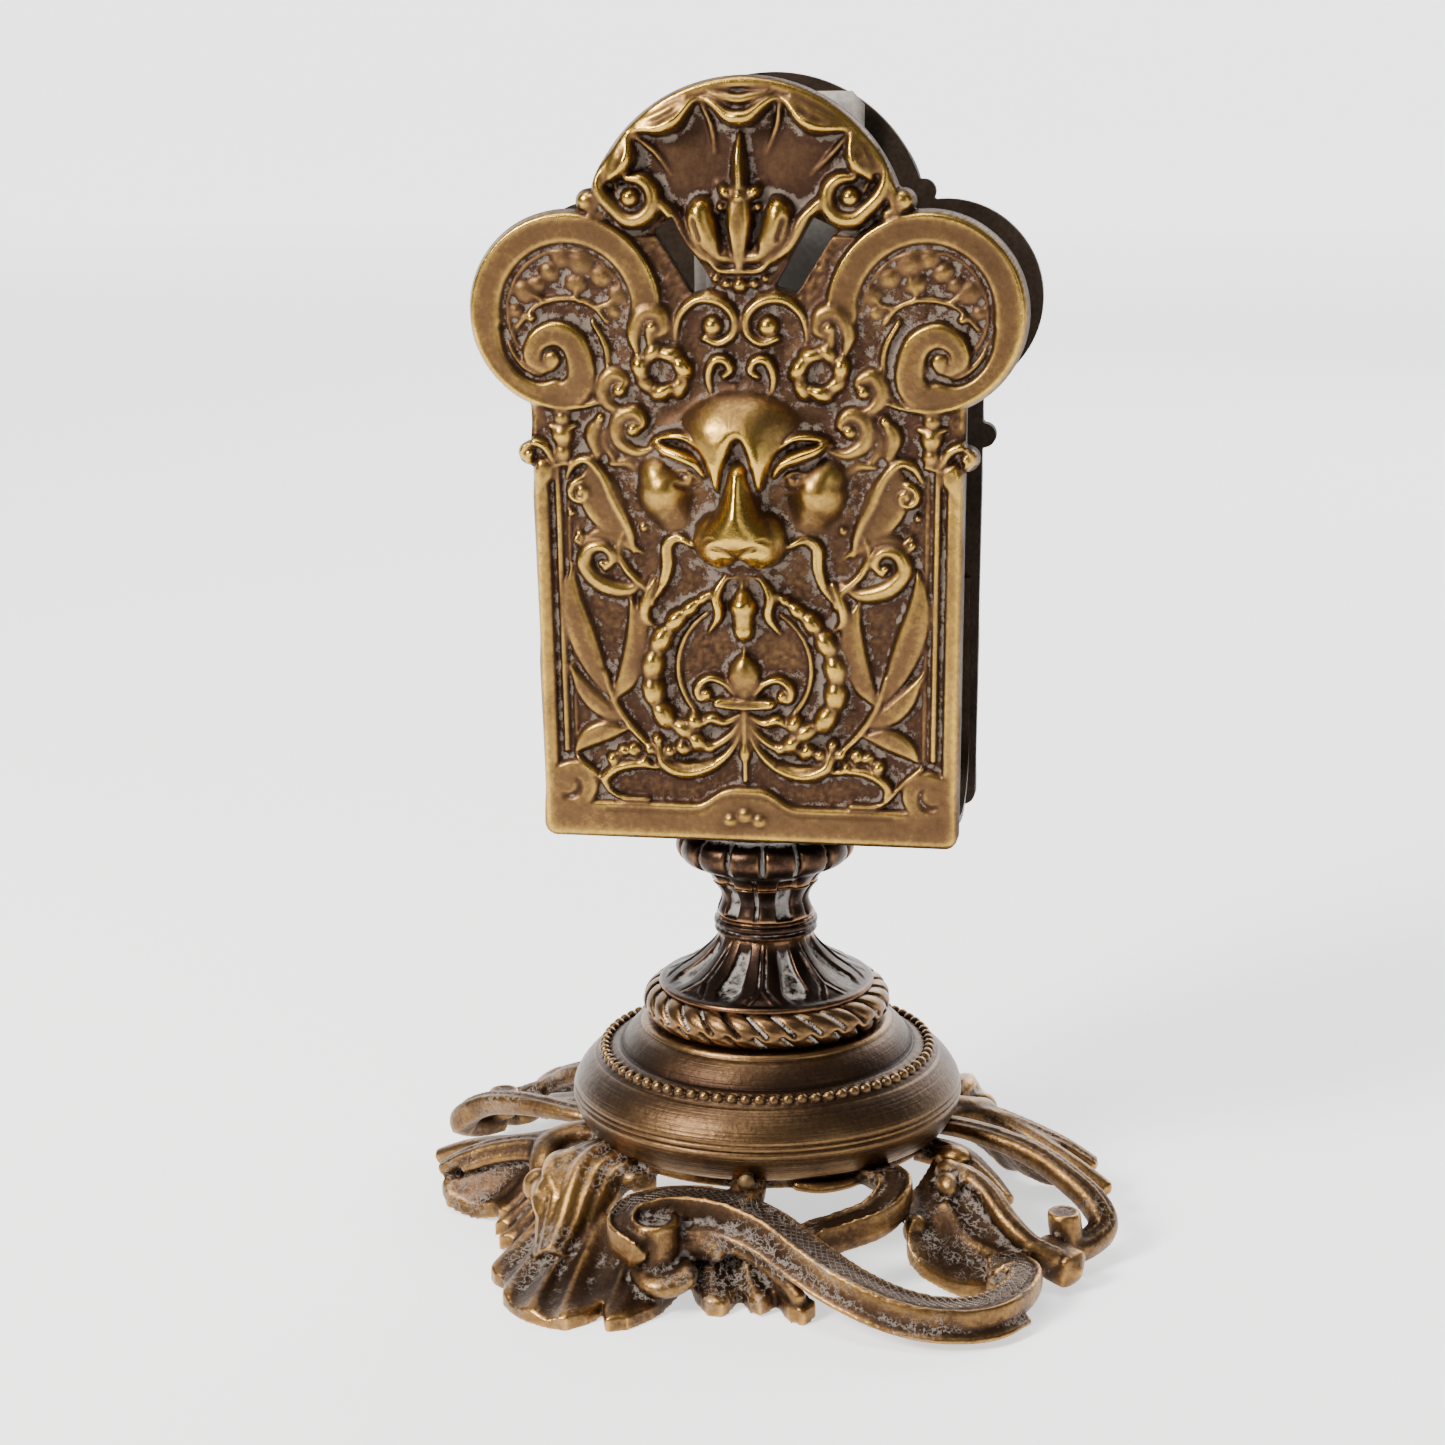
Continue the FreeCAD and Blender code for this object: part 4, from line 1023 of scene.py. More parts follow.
def plate_mesh(step):
    """Points and faces of the front plate: a grid cut to the outline, with walls and a flat back."""
    r = plate_relief(step / 2)
    X, H, Z = r.X[::2, ::2].copy(), r.H[::2, ::2].copy(), r.Z[::2, ::2]
    rows, columns = X.shape
    inside = plate_distance(X, H) < 0.25 * step
    index = np.arange(rows * columns).reshape(rows, columns)
    cells = [(slice(0, -1), slice(0, -1)), (slice(0, -1), slice(1, None)),
             (slice(1, None), slice(1, None)), (slice(1, None), slice(0, -1))]
    corners = np.stack([index[cell] for cell in cells], -1)
    corner_in = np.stack([inside[cell] for cell in cells], -1)
    total = corner_in.sum(-1)
    faces = corners[total == 4].tolist()
    for k in range(4):
        faces += np.delete(corners, k, -1)[(total == 3) & ~corner_in[..., k]].tolist()
    directed = dict.fromkeys((i, j) for f in faces for i, j in zip(f, f[1:] + f[:1]))
    rim = [(i, j) for i, j in directed if (j, i) not in directed]
    rim_points = np.array(sorted({i for e in rim for i in e}))
    x, h = X.ravel(), H.ravel()
    for _ in range(3):
        px, ph = x[rim_points], h[rim_points]
        e = 0.02
        value = plate_distance(px, ph)
        gx = (plate_distance(px + e, ph) - plate_distance(px - e, ph)) / (2 * e)
        gh = (plate_distance(px, ph + e) - plate_distance(px, ph - e)) / (2 * e)
        scale = np.maximum(gx * gx + gh * gh, 0.2)
        x[rim_points] = px - value * gx / scale
        h[rim_points] = ph - value * gh / scale
    used = np.array(sorted({i for f in faces for i in f}))
    renumber = -np.ones(rows * columns, int)
    renumber[used] = np.arange(len(used))
    y = np.maximum(-FIELD_FACE - Z.ravel()[used], -DEEPEST)
    points = np.stack([x[used], np.minimum(y, -INNER_FACE - 0.6), h[used] + PLATE_BOTTOM], -1)
    faces = [[int(renumber[i]) for i in f] for f in faces]
    rim = [(int(renumber[i]), int(renumber[j])) for i, j in rim]
    level = points[:, 1:2].copy()
    for _ in range(12):
        mean = neighbours_mean(level, np.array(rim))
        level[renumber[rim_points]] = mean[renumber[rim_points]]
    points[:, 1] = level[:, 0]
    rim_points = renumber[rim_points]
    front = len(faces)
    back = points[rim_points].copy()
    back[:, 1] = -INNER_FACE
    where = {int(i): len(points) + k for k, i in enumerate(rim_points)}
    walls = [[j, i, where[i], where[j]] for i, j in rim]
    order = {int(i): k for k, i in enumerate(rim_points)}
    flat = [Vector((p[0], p[2])) for p in back]
    outline = [(order[i], order[j]) for i, j in rim]
    verts, _, tris, origins, _, _ = delaunay_2d_cdt(flat, outline, [], 0, 1e-5)
    centre = np.array([[sum(verts[i][k] for i in t) / 3 for k in (0, 1)] for t in tris])
    keep = plate_distance(centre[:, 0], centre[:, 1] - PLATE_BOTTOM) < -0.01
    first = {k: (o[0] if o else None) for k, o in enumerate(origins)}
    backs = [[len(points) + first[i] for i in t[:3]] for t, k in zip(tris, keep)
             if k and all(first[i] is not None for i in t)]
    points = np.vstack([points, back])
    return points, faces + walls + backs, front


def add_plates(step):
    """Both relief plates, alike and back to back, with old polish under the muzzle and in the volutes."""
    points, faces, front = plate_mesh(step)
    lift = np.interp(-FIELD_FACE - points[:, 1], [-0.4, 0.2, 1.1, 3.0, 7.0],
                     [-0.17, -0.12, 0.035, 0.07, 0.27])
    x, h = points[:, 0], points[:, 2] - PLATE_BOTTOM
    lift -= 0.34 * unit(1 + plate_distance(x, h) / 0.6)
    old_polish = 0.55 * np.exp(-((x - MIDDLE) / 7.5) ** 2 - ((h - 36.6) / 2.6) ** 2)
    old_polish += 0.40 * np.exp(-((np.abs(x - MIDDLE) - 7.2) / 2.6) ** 2 - ((h - 46.5) / 4.5) ** 2)
    for side in (-1, 1):
        old_polish += 0.22 * (np.hypot(x - side * VOLUTE_X, h - VOLUTE_H) < 9.6)
    old_polish *= -FIELD_FACE - points[:, 1] < 0.9
    wear = {"fine": (4, 0.08), "broad": (45, 0.50), "gain": 0.74, "lift": lift, "crust": old_polish}
    turned = points * np.array([-1.0, -1.0, 1.0])
    for name, place, node in (("front_relief", points, "front_plate"),
                              ("back_relief", turned, "back_plate")):
        add_piece(name, place, faces, plate_metal, "plate_bronze", node,
                  flat_from=front, inner=inner_metal, wear=wear)


# ======== the stem and the dome, turned about the middle ========


def lathe(profile, columns, shape=None):
    """A closed ring: the profile's (radius, height) points turned round. shape moves them by angle."""
    profile = np.array(profile, float)
    angle = np.linspace(0, 2 * pi, columns, endpoint=False)
    R = np.repeat(profile[:, :1], columns, 1)
    Z = np.repeat(profile[:, 1:2], columns, 1)
    A = np.repeat(angle[None], len(profile), 0)
    if shape:
        R, Z, A = shape(R, Z, A)
    points = np.stack([R * np.cos(A), R * np.sin(A), Z], -1).reshape(-1, 3)
    return points, grid_faces(len(profile), columns, True, True)


def fine_profile(points, spacing, curved=True):
    """The profile resampled to even spacing, through a smooth curve or straight lines."""
    path = smooth_path(points, 12) if curved else np.array(points, float)
    lengths = np.concatenate([[0], np.cumsum(np.hypot(*np.diff(path, axis=0).T))])
    at = np.linspace(0, lengths[-1], max(2, int(lengths[-1] / spacing) + 1))
    return np.stack([np.interp(at, lengths, path[:, 0]), np.interp(at, lengths, path[:, 1])], -1).tolist()


BORE = 2.15


def ring_part(name, node, outer, columns, shape, spacing=0.25):
    """A turned stem part from its outer profile, foot to top, closed through the bore.

    Old polish fills the grooves that shape cuts.
    """
    profile = [(BORE, outer[0][1])] + fine_profile(outer, spacing) + [(BORE, outer[-1][1])]
    points, faces = lathe(profile, columns, shape)
    plain, _ = lathe(profile, columns)
    depth = np.hypot(plain[:, 0], plain[:, 1]) - np.hypot(points[:, 0], points[:, 1])
    crust = 0.24 * unit((depth - 0.3) / 0.5) * (np.hypot(plain[:, 0], plain[:, 1]) > 4)
    add_piece(name, points, faces, stem_metal, "stem_bronze", node, wear={"crust": crust})


def flutes(R, Z, A, low, high):
    """How deep the neck's five hollow flutes, and the thin lines between them, go between two heights."""
    on = unit((Z - low) / 0.8) * unit((high - Z) / 0.7) * (R > 4)
    u = np.abs(np.mod(A * 5 / (2 * pi) + 0.781, 1.0) - 0.5)
    wide = unit((u - 0.33) / 0.05)
    thin = unit(1 - np.abs(u - 0.02) / 0.035)
    return on * (1.0 * wide + 0.6 * thin - 0.15 * np.sin(pi * unit(u / 0.33)))


def add_gadroon_cap():
    """The cap: swelling lobes, a twisted rope line over them, and the upper ends of the flutes."""
    lobes = 15

    def shape(R, Z, A):
        swell = unit((Z - 52.4) / 1.2) * unit((58.2 - Z) / 1.6) * (R > 4)
        q = np.abs(np.sin(lobes / 2 * A + 1.335))
        groove = unit(1 - q / 0.40) ** 1.4
        rope = unit(1 - np.abs(Z - 58.6) / 0.9) * (R > 4)
        q2 = np.abs(np.sin(18 * A + (Z - 58.6) * 1.4))
        R = R - swell * (1.35 * groove - 0.25 * (q - 0.6)) - rope * 0.5 * unit(1 - q2 / 0.5)
        return R - flutes(R, Z, A, 49.0, 52.0), Z, A
    outer = [(7.4, 49.8), (7.6, 50.4), (8.2, 51.2), (9.0, 51.9), (10.0, 52.3), (11.4, 52.9), (12.3, 53.8),
             (12.65, 55.0), (12.2, 56.4), (11.0, 57.2), (10.6, 57.7), (11.4, 58.2), (11.5, 58.9),
             (10.9, 59.4), (9.4, 60.6), (7.0, 62.0), (4.5, 63.0)]
    ring_part("gadroon_ring", "gadroon_cap", outer, 420, shape)


def add_fluted_cup():
    """The waisted neck, cut by wide and thin flutes."""
    def shape(R, Z, A):
        return R - flutes(R, Z, A, 45.0, 51.0), Z, A
    outer = [(6.85, 44.8), (6.9, 45.2), (6.5, 46.2), (6.2, 47.2), (6.4, 48.2), (7.0, 49.2), (7.55, 49.8)]
    ring_part("fluted_neck", "fluted_cup", outer, 288, shape, 0.2)


def add_stem_collar():
    """The double band under the neck."""
    def shape(R, Z, A):
        return R + 0.04 * np.sin(9 * A) * np.sin(23 * A + 1) * (R > 4), Z, A
    outer = [(6.6, 42.2), (7.1, 42.3), (7.35, 42.65), (7.1, 43.0), (7.05, 43.2), (7.3, 43.35),
             (7.43, 43.75), (7.3, 44.15), (7.0, 44.3), (7.1, 44.45), (7.0, 44.7), (6.6, 44.8)]
    ring_part("stem_band", "stem_collar", outer, 192, shape, 0.12)


def add_leaf_flare():
    """The flare of overlapping petals, each with a rib that forks toward its tip."""
    petals = 8

    def shape(R, Z, A):
        down = unit((41.8 - Z) / 2.5) * (R > 5.9)
        u = np.mod(A * petals / (2 * pi) + 0.349, 1.0) - 0.5
        edge = np.abs(u) * 2
        reach = unit((14.6 - R) / 1.2)
        width = np.interp(R, [6, 9, 12.5, 14.5], [0.40, 0.36, 0.42, 0.20])
        channel = unit((edge - (1 - width)) / 0.10)
        crown = 0.40 * (1 - (edge / 0.7) ** 2) * (edge < 0.7)
        fork = np.interp(R, [11.5, 14.2], [0.0, 0.16])
        off_rib = np.abs(u) - fork
        rib = unit(1 - np.abs(off_rib) / 0.04) * 0.35 - unit(1 - np.abs(off_rib - 0.06) / 0.03) * 0.3
        R = R + down * reach * (crown + rib - 0.95 * channel)
        return np.where(R > 15.45, 15.45, R), np.clip(Z, 29.2, 42.2), A
    outer = [(12.2, 29.2), (12.25, 33.6), (14.8, 33.9), (15.4, 34.4), (15.3, 35.0), (14.7, 35.2),
             (14.3, 35.3), (13.2, 35.9), (11.4, 36.9), (9.6, 38.1), (8.2, 39.4), (7.2, 40.7), (6.5, 42.2)]
    ring_part("leaf_skirt", "leaf_flare", outer, 432, shape)


def add_rope_ring():
    """The thick twisted rope round the stem's foot."""
    strands, ring_radius, section = 28, 15.2, 2.6
    turns = np.linspace(0, 2 * pi, 44, endpoint=False)
    columns = 480
    T, A = np.meshgrid(turns, np.linspace(0, 2 * pi, columns, endpoint=False), indexing="ij")
    q = np.abs(np.sin(strands / 2 * (A + 0.125 * (T - pi))))
    seam = unit(1 - q / 0.36) ** 1.2
    radius = section - 0.80 * seam - 0.20 * (1 - q)
    points = np.stack([(ring_radius + radius * np.cos(T)) * np.cos(A),
                       (ring_radius + radius * np.cos(T)) * np.sin(A), 31.8 + radius * np.sin(T)],
                      -1).reshape(-1, 3)
    faces = grid_faces(len(turns), columns, True, True)
    crust = 0.75 * seam.ravel() * (np.sin(5 * A.ravel() + 1) > -0.6)
    add_piece("rope_moulding", points, faces, rope_metal, "rope_brass", "rope_ring", wear={"crust": crust})


def add_dome():
    """The domed base with its scored lines, its row of beads and its stepped top."""
    beads, bead_radius, ring_radius, ring_height = 76, 0.78, 23.45, 24.85
    outer = [(25.6, 14.2), (26.2, 14.25), (26.7, 14.9), (27.2, 15.8), (27.75, 16.9), (28.05, 18.0),
             (28.1, 18.6)]
    lines = [(28.0, 18.72), (27.86, 18.8), (28.0, 18.9), (28.05, 19.5), (27.9, 19.62), (27.78, 19.7),
             (27.9, 19.8)]
    upper = [(27.8, 20.3), (27.3, 21.3), (26.5, 22.4), (25.5, 23.4), (24.8, 24.0)]
    profile = fine_profile(outer, 0.5) + lines + fine_profile(upper, 0.5)
    profile += [(24.62, 24.0), (24.5, 24.2), (24.2, 24.4)]
    profile += [(ring_radius + bead_radius * cos(a), ring_height + bead_radius * sin(a))
                for a in np.radians([-25, 0, 25, 50, 75, 100, 125, 150, 175, 200])]
    profile += [(22.5, 25.05), (22.0, 25.3), (21.5, 25.45), (21.25, 25.3), (21.1, 25.3), (20.95, 25.55)]
    profile += fine_profile([(20.85, 25.8), (20.4, 26.6), (19.7, 27.5), (18.9, 28.2), (18.3, 28.5)], 0.4)
    profile += [(18.15, 28.55), (18.1, 28.8), (17.9, 29.15), (17.0, 29.2), (15.0, 29.2), (11.0, 29.2),
                (6.0, 29.2), (BORE, 29.2)]
    inside = [(BORE, 26.8), (10.0, 26.8), (18.0, 24.6), (22.5, 21.6), (25.0, 18.6), (25.4, 16.0),
              (24.9, 14.2)]

    def shape(R, Z, A):
        off_r, off_z = R - ring_radius, Z - ring_height
        on = (np.hypot(off_r, off_z) < bead_radius + 0.02) & (R < 24.4)
        u = (np.mod(A * beads / (2 * pi), 1.0) - 0.5) * 2
        size = np.where(on, np.sqrt(np.clip(1 - (u * 1.12) ** 2, 0.10, 1)), 1.0)
        return ring_radius + off_r * size, ring_height + off_z * size, A
    points, faces = lathe(profile + inside, beads * 12, shape)
    lift = np.interp(np.hypot(points[:, 0], points[:, 1]), [22.2, 22.5, 24.3, 24.8],
                     [-0.09, 0.10, 0.10, 0.0])
    add_piece("dome_shell", points, faces, dome_metal, "dome_brass", "dome", wear={"lift": lift})


# ======== the openwork foot ========


def polar(r, azimuth, z):
    """A place given by its radius, its azimuth in degrees and its height."""
    return np.array([r * cos(radians(azimuth)), r * sin(radians(azimuth)), z])


def frames_along(path):
    """Tangent and level side direction at each point."""
    tangent = np.gradient(path, axis=0)
    tangent /= np.linalg.norm(tangent, axis=1, keepdims=True)
    side = np.cross(tangent, [0, 0, 1.0])
    side /= np.maximum(np.linalg.norm(side, axis=1, keepdims=True), 1e-6)
    up = np.cross(side, tangent)
    return tangent, side, up


def sweep(stations, section):
    """A closed bar.

    stations are (r, azimuth, z, half width, half depth), and section is a loop in a unit square.
    """
    path = smooth_path([(*polar(*s[:3]), *s[3:]) for s in stations], 8)
    tangent, side, up = frames_along(path[:, :3])
    loop = np.array(section)
    rings = (path[:, None, :3] + loop[None, :, 0:1] * path[:, None, 3:4] * side[:, None]
             + loop[None, :, 1:2] * path[:, None, 4:5] * up[:, None])
    n, m = rings.shape[:2]
    points = rings.reshape(-1, 3)
    faces = grid_faces(n, m, False, True)
    ends = np.array([path[0, :3] - tangent[0] * path[0, 4] * 0.6,
                     path[-1, :3] + tangent[-1] * path[-1, 4] * 0.6])
    k = n * m
    faces = [f[::-1] for f in faces]
    faces += [[k, (i + 1) % m, i] for i in range(m)]
    faces += [[k + 1, (n - 1) * m + i, (n - 1) * m + (i + 1) % m] for i in range(m)]
    return np.vstack([points, ends]), faces


def round_section(count=16, power=2.0):
    """A round bar's section, squarer as power grows."""
    a = np.linspace(0, 2 * pi, count, endpoint=False)
    c, s = np.cos(a), np.sin(a)
    return [(np.sign(x) * abs(x) ** (2 / power), np.sign(y) * abs(y) ** (2 / power)) for x, y in zip(c, s)]


def leaf_sheet(stations, thickness, crown=1.0, veins=3, depth=0.45, across=21):
    """A closed leaf. stations are (r, azimuth, z, half width). crown arches it and veins furrow it."""
    path = smooth_path([(*polar(*s[:3]), s[3]) for s in stations], 9)
    _, side, up = frames_along(path[:, :3])
    t = np.linspace(0, 1, len(path))
    u = np.linspace(-1, 1, across)
    T, U = np.meshgrid(t, u, indexing="ij")
    half = np.maximum(path[:, 3], 0.25)
    arch = crown * (1 - U ** 2) - crown * 0.5
    rib = 0.35 * np.exp(-(U / 0.10) ** 2)
    furrow = -depth * (0.5 - 0.5 * np.cos(2 * pi * veins * np.abs(U) - 1.1 * T * pi))
    furrow = furrow * (0.35 + 0.65 * np.abs(U))
    flat = path[:, None, :3] + side[:, None] * (U * half[:, None])[..., None]
    top = flat + up[:, None] * ((arch + rib + furrow) * np.minimum(1, half / 2.0)[:, None])[..., None]
    low = flat + up[:, None] * ((arch * 0.8 - thickness) * np.minimum(1, half / 1.2)[:, None])[..., None]
    low[..., 2] = np.minimum(low[..., 2], top[..., 2] - 0.5)
    return closed_sheet(top, low)


def ball_mesh(centre, radii, turn=0.0, rows=12, columns=20):
    """A closed ellipsoid. centre is polar, turn swings it about the upright."""
    points, faces = [], []
    for i in range(1, rows):
        for j in range(columns):
            a, b = pi * i / rows, 2 * pi * j / columns
            points.append((radii[0] * sin(a) * cos(b), radii[1] * sin(a) * sin(b), radii[2] * cos(a)))
    faces = [f[::-1] for f in grid_faces(rows - 1, columns, False, True)]
    n = len(points)
    points += [(0, 0, radii[2]), (0, 0, -radii[2])]
    faces += [[n, j, (j + 1) % columns] for j in range(columns)]
    last = (rows - 2) * columns
    faces += [[n + 1, last + (j + 1) % columns, last + j] for j in range(columns)]
    points = np.array(points)
    c, s = cos(radians(turn)), sin(radians(turn))
    points[:, :2] = np.stack([points[:, 0] * c - points[:, 1] * s, points[:, 0] * s + points[:, 1] * c], -1)
    return points + polar(*centre), faces


UNDERSIDE = [(-0.75, -0.9), (0, -1), (0.75, -0.9)]
ROUND = round_section()
BOX = round_section(20, 3.5)
# a flat bar whose top is sunk between two rounded edges
CHANNEL = mirrored([(1, -0.3), (1, 0.5), (0.93, 0.92), (0.8, 1), (0.7, 0.95), (0.62, 0.72), (0.3, 0.78),
                    (0, 0.8)]) + UNDERSIDE
# a leafy bar: rounded, with a groove on either side of a raised middle rib
RIDGE = mirrored([(1, -0.2), (0.95, 0.35), (0.72, 0.75), (0.5, 0.8), (0.3, 0.55), (0.14, 0.9), (0, 1)])
RIDGE += [(-0.7, -0.9), (0, -1), (0.7, -0.9)]


def fan_leaf():
    """The wide acanthus leaf at the toe: lobes that fan out from the rolled head, and feathers."""
    # azimuth at the rim, azimuth at the root, root radius, root height
    roots = np.array([(-171, -169, 40.0, 7.6), (-163, -163, 35.5, 9.6), (-155, -157, 32.5, 10.2),
                      (-145, -150, 31.5, 10.4), (-134, -144, 30.5, 11.2), (-126, -138, 31.0, 11.2),
                      (-119, -132, 32.0, 10.4), (-112, -126, 32.5, 9.2), (-109.8, -120, 32.5, 8.2),
                      (-106, -113, 32.0, 7.8), (-100, -105, 31.0, 7.8), (-98.5, -101, 30.5, 8.0),
                      (-90, -95, 30.0, 8.4), (-82, -88, 30.5, 8.4), (-74, -81, 32.5, 8.2),
                      (-71, -79, 33.5, 8.0)])
    # azimuth, radius and height of the rim at each tip and notch
    rim = np.array([(-171, 45.0, 5.6), (-168.5, 47.4, 4.2), (-166, 46.4, 3.2), (-163, 42.6, 2.8),
                    (-160, 39.6, 3.2), (-157.5, 39.4, 2.8), (-155.5, 38.0, 3.4), (-152.5, 40.6, 2.6),
                    (-149.5, 38.9, 3.2), (-146.5, 41.4, 2.4), (-143, 39.6, 3.0), (-139, 43.0, 2.4),
                    (-135.5, 46.2, 2.1), (-133.5, 46.6, 2.1), (-131, 46.3, 2.3), (-129.5, 47.0, 2.3),
                    (-126.5, 49.4, 2.0), (-123, 50.4, 1.9), (-119.5, 50.9, 1.9), (-115.5, 50.7, 1.9),
                    (-112.5, 50.0, 1.9), (-110.9, 47.0, 2.3), (-109.8, 43.0, 3.4), (-108.9, 45.6, 2.5),
                    (-106.8, 47.8, 1.9), (-104, 46.0, 1.9), (-101.6, 41.6, 2.2), (-100, 36.6, 3.4),
                    (-98.6, 34.0, 4.2), (-96.4, 36.0, 3.0), (-92.5, 39.0, 2.1), (-89.5, 39.2, 2.1),
                    (-87.4, 36.8, 3.0), (-86.2, 35.2, 3.6), (-84.4, 37.4, 2.6), (-82, 38.8, 2.2),
                    (-79.8, 37.6, 3.0), (-78.8, 36.8, 3.6), (-76.6, 40.2, 2.4), (-74, 41.6, 2.0),
                    (-71, 39.6, 3.2)])
    crests = [-171, -168, -163.5, -157.5, -155, -151.5, -149, -145, -142.5, -135, -130.5, -126, -122.5,
              -118.5, -115.5, -112.8, -109.8, -106, -99.0, -91, -86.2, -82, -78.8, -74.5, -71]
    azimuth = np.linspace(-171, -71, 401)
    t = np.linspace(0, 1, 44)
    A, T = np.meshgrid(azimuth, t, indexing="ij")
    root_az, root_r, root_z = (np.interp(A, roots[:, 0], roots[:, k]) for k in (1, 2, 3))
    tip_r, tip_z = (np.interp(A, rim[:, 0], rim[:, k]) for k in (1, 2))
    turn = root_az + (A - root_az) * T ** 0.8
    R = root_r + (tip_r - root_r) * T
    wave = np.interp(A, crests, [k % 2 for k in range(len(crests))])
    wave = 0.5 - 0.5 * np.cos(pi * wave)
    Z = root_z + (tip_z - root_z) * (1 - (1 - T) ** 1.7)
    Z = Z + (0.9 * wave - 0.45) * np.sin(pi * unit(T * 0.62 + 0.1))
    Z = Z + 0.13 * np.sin(A * 2.3 + 5 * T) * np.sin(pi * T) - 0.3 * unit((T - 0.92) / 0.08)
    under = np.minimum(Z - 1.1, np.maximum(Z - 2.3 - 1.2 * (1 - T), -0.3))
    C, S = np.cos(np.radians(turn)), np.sin(np.radians(turn))
    return closed_sheet(np.stack([R * C, R * S, Z], -1), np.stack([R * C, R * S, under], -1))


def closed_sheet(top, low):
    """A closed skin from an upper and a lower grid with the same rows and columns."""
    n, m = top.shape[:2]
    rings = np.concatenate([top, low[:, ::-1]], axis=1)
    points = rings.reshape(-1, 3)
    faces = [f[::-1] for f in grid_faces(n, 2 * m, False, True)]
    faces += [[i, i + 1, 2 * m - 2 - i, 2 * m - 1 - i] for i in range(m - 1)]
    e = (n - 1) * 2 * m
    faces += [[e + 2 * m - 1 - i, e + 2 * m - 2 - i, e + i + 1, e + i] for i in range(m - 1)]
    return points, faces


def ruled_leaf(near, far, thickness, crown=0.8, ribs=3, depth=0.5, rows=60, columns=24):
    """A closed leaf stretched from one edge to another. Both edges are lists of (r, azimuth, z)."""
    edges = []
    for edge in (near, far):
        path = smooth_path([tuple(polar(*p)) for p in edge], 12)
        at = np.linspace(0, len(path) - 1, rows)
        edges.append(np.stack([np.interp(at, range(len(path)), path[:, k]) for k in range(3)], -1))
    s, t = np.linspace(0, 1, rows), np.linspace(0, 1, columns)
    S, T = np.meshgrid(s, t, indexing="ij")
    top = edges[0][:, None] * (1 - T)[..., None] + edges[1][:, None] * T[..., None]
    ridges = depth * np.cos(2 * pi * ribs * T + 2.0 * S) * np.sin(pi * np.clip(S, 0.04, 0.96)) * 0.6
    lift = crown * 4 * T * (1 - T) + ridges
    low = top.copy()
    top[..., 2] += lift
    low[..., 2] = np.minimum(top[..., 2] - 0.8, low[..., 2] + 0.8 * lift - thickness)
    return closed_sheet(top, low)


def drum_mesh(r, azimuth, low, high, radius, sunk=0.5, lean=(0.0, 0.0)):
    """An upright drum with a sunk flat end, leaning by lean millimetres over its height."""
    profile = [(0.001, low), (radius * 0.9, low), (radius, low + 0.6), (radius * 1.02, (low + high) / 2),
               (radius, high - 0.5), (radius * 0.9, high), (radius * 0.74, high - 0.1),
               (radius * 0.70, high - sunk), (0.001, high - sunk)]
    points, _ = lathe(profile, 28)
    points[:, :2] += polar(r, azimuth, 0)[:2]
    points[:, :2] += np.array(lean) * ((points[:, 2:] - low) / (high - low))
    return points, grid_faces(len(profile), 28, True, True)


SCROLL = [(40.6, -105.0, 8.6, 1.7, 2.3), (39.2, -110.2, 9.8, 1.9, 2.3), (35.4, -111.6, 10.9, 2.1, 2.4),
          (31.8, -106, 11.5, 2.3, 2.4), (30.6, -98, 11.7, 2.4, 2.4), (31.2, -89, 11.4, 2.5, 2.4),
          (34.0, -79.5, 10.2, 2.5, 2.4), (38.6, -72.5, 8.3, 2.5, 2.3), (43.4, -66.6, 6.4, 2.5, 2.2),
          (47.4, -61.0, 4.7, 2.5, 2.1), (50.8, -55.2, 3.7, 2.5, 2.0), (52.6, -48.6, 3.3, 2.5, 1.9),
          (52.0, -42.2, 3.6, 2.4, 1.9), (49.6, -36.8, 4.0, 2.3, 1.9), (46.4, -35.6, 4.3, 2.2, 1.9),
          (45.9, -39.2, 4.5, 1.9, 1.8)]


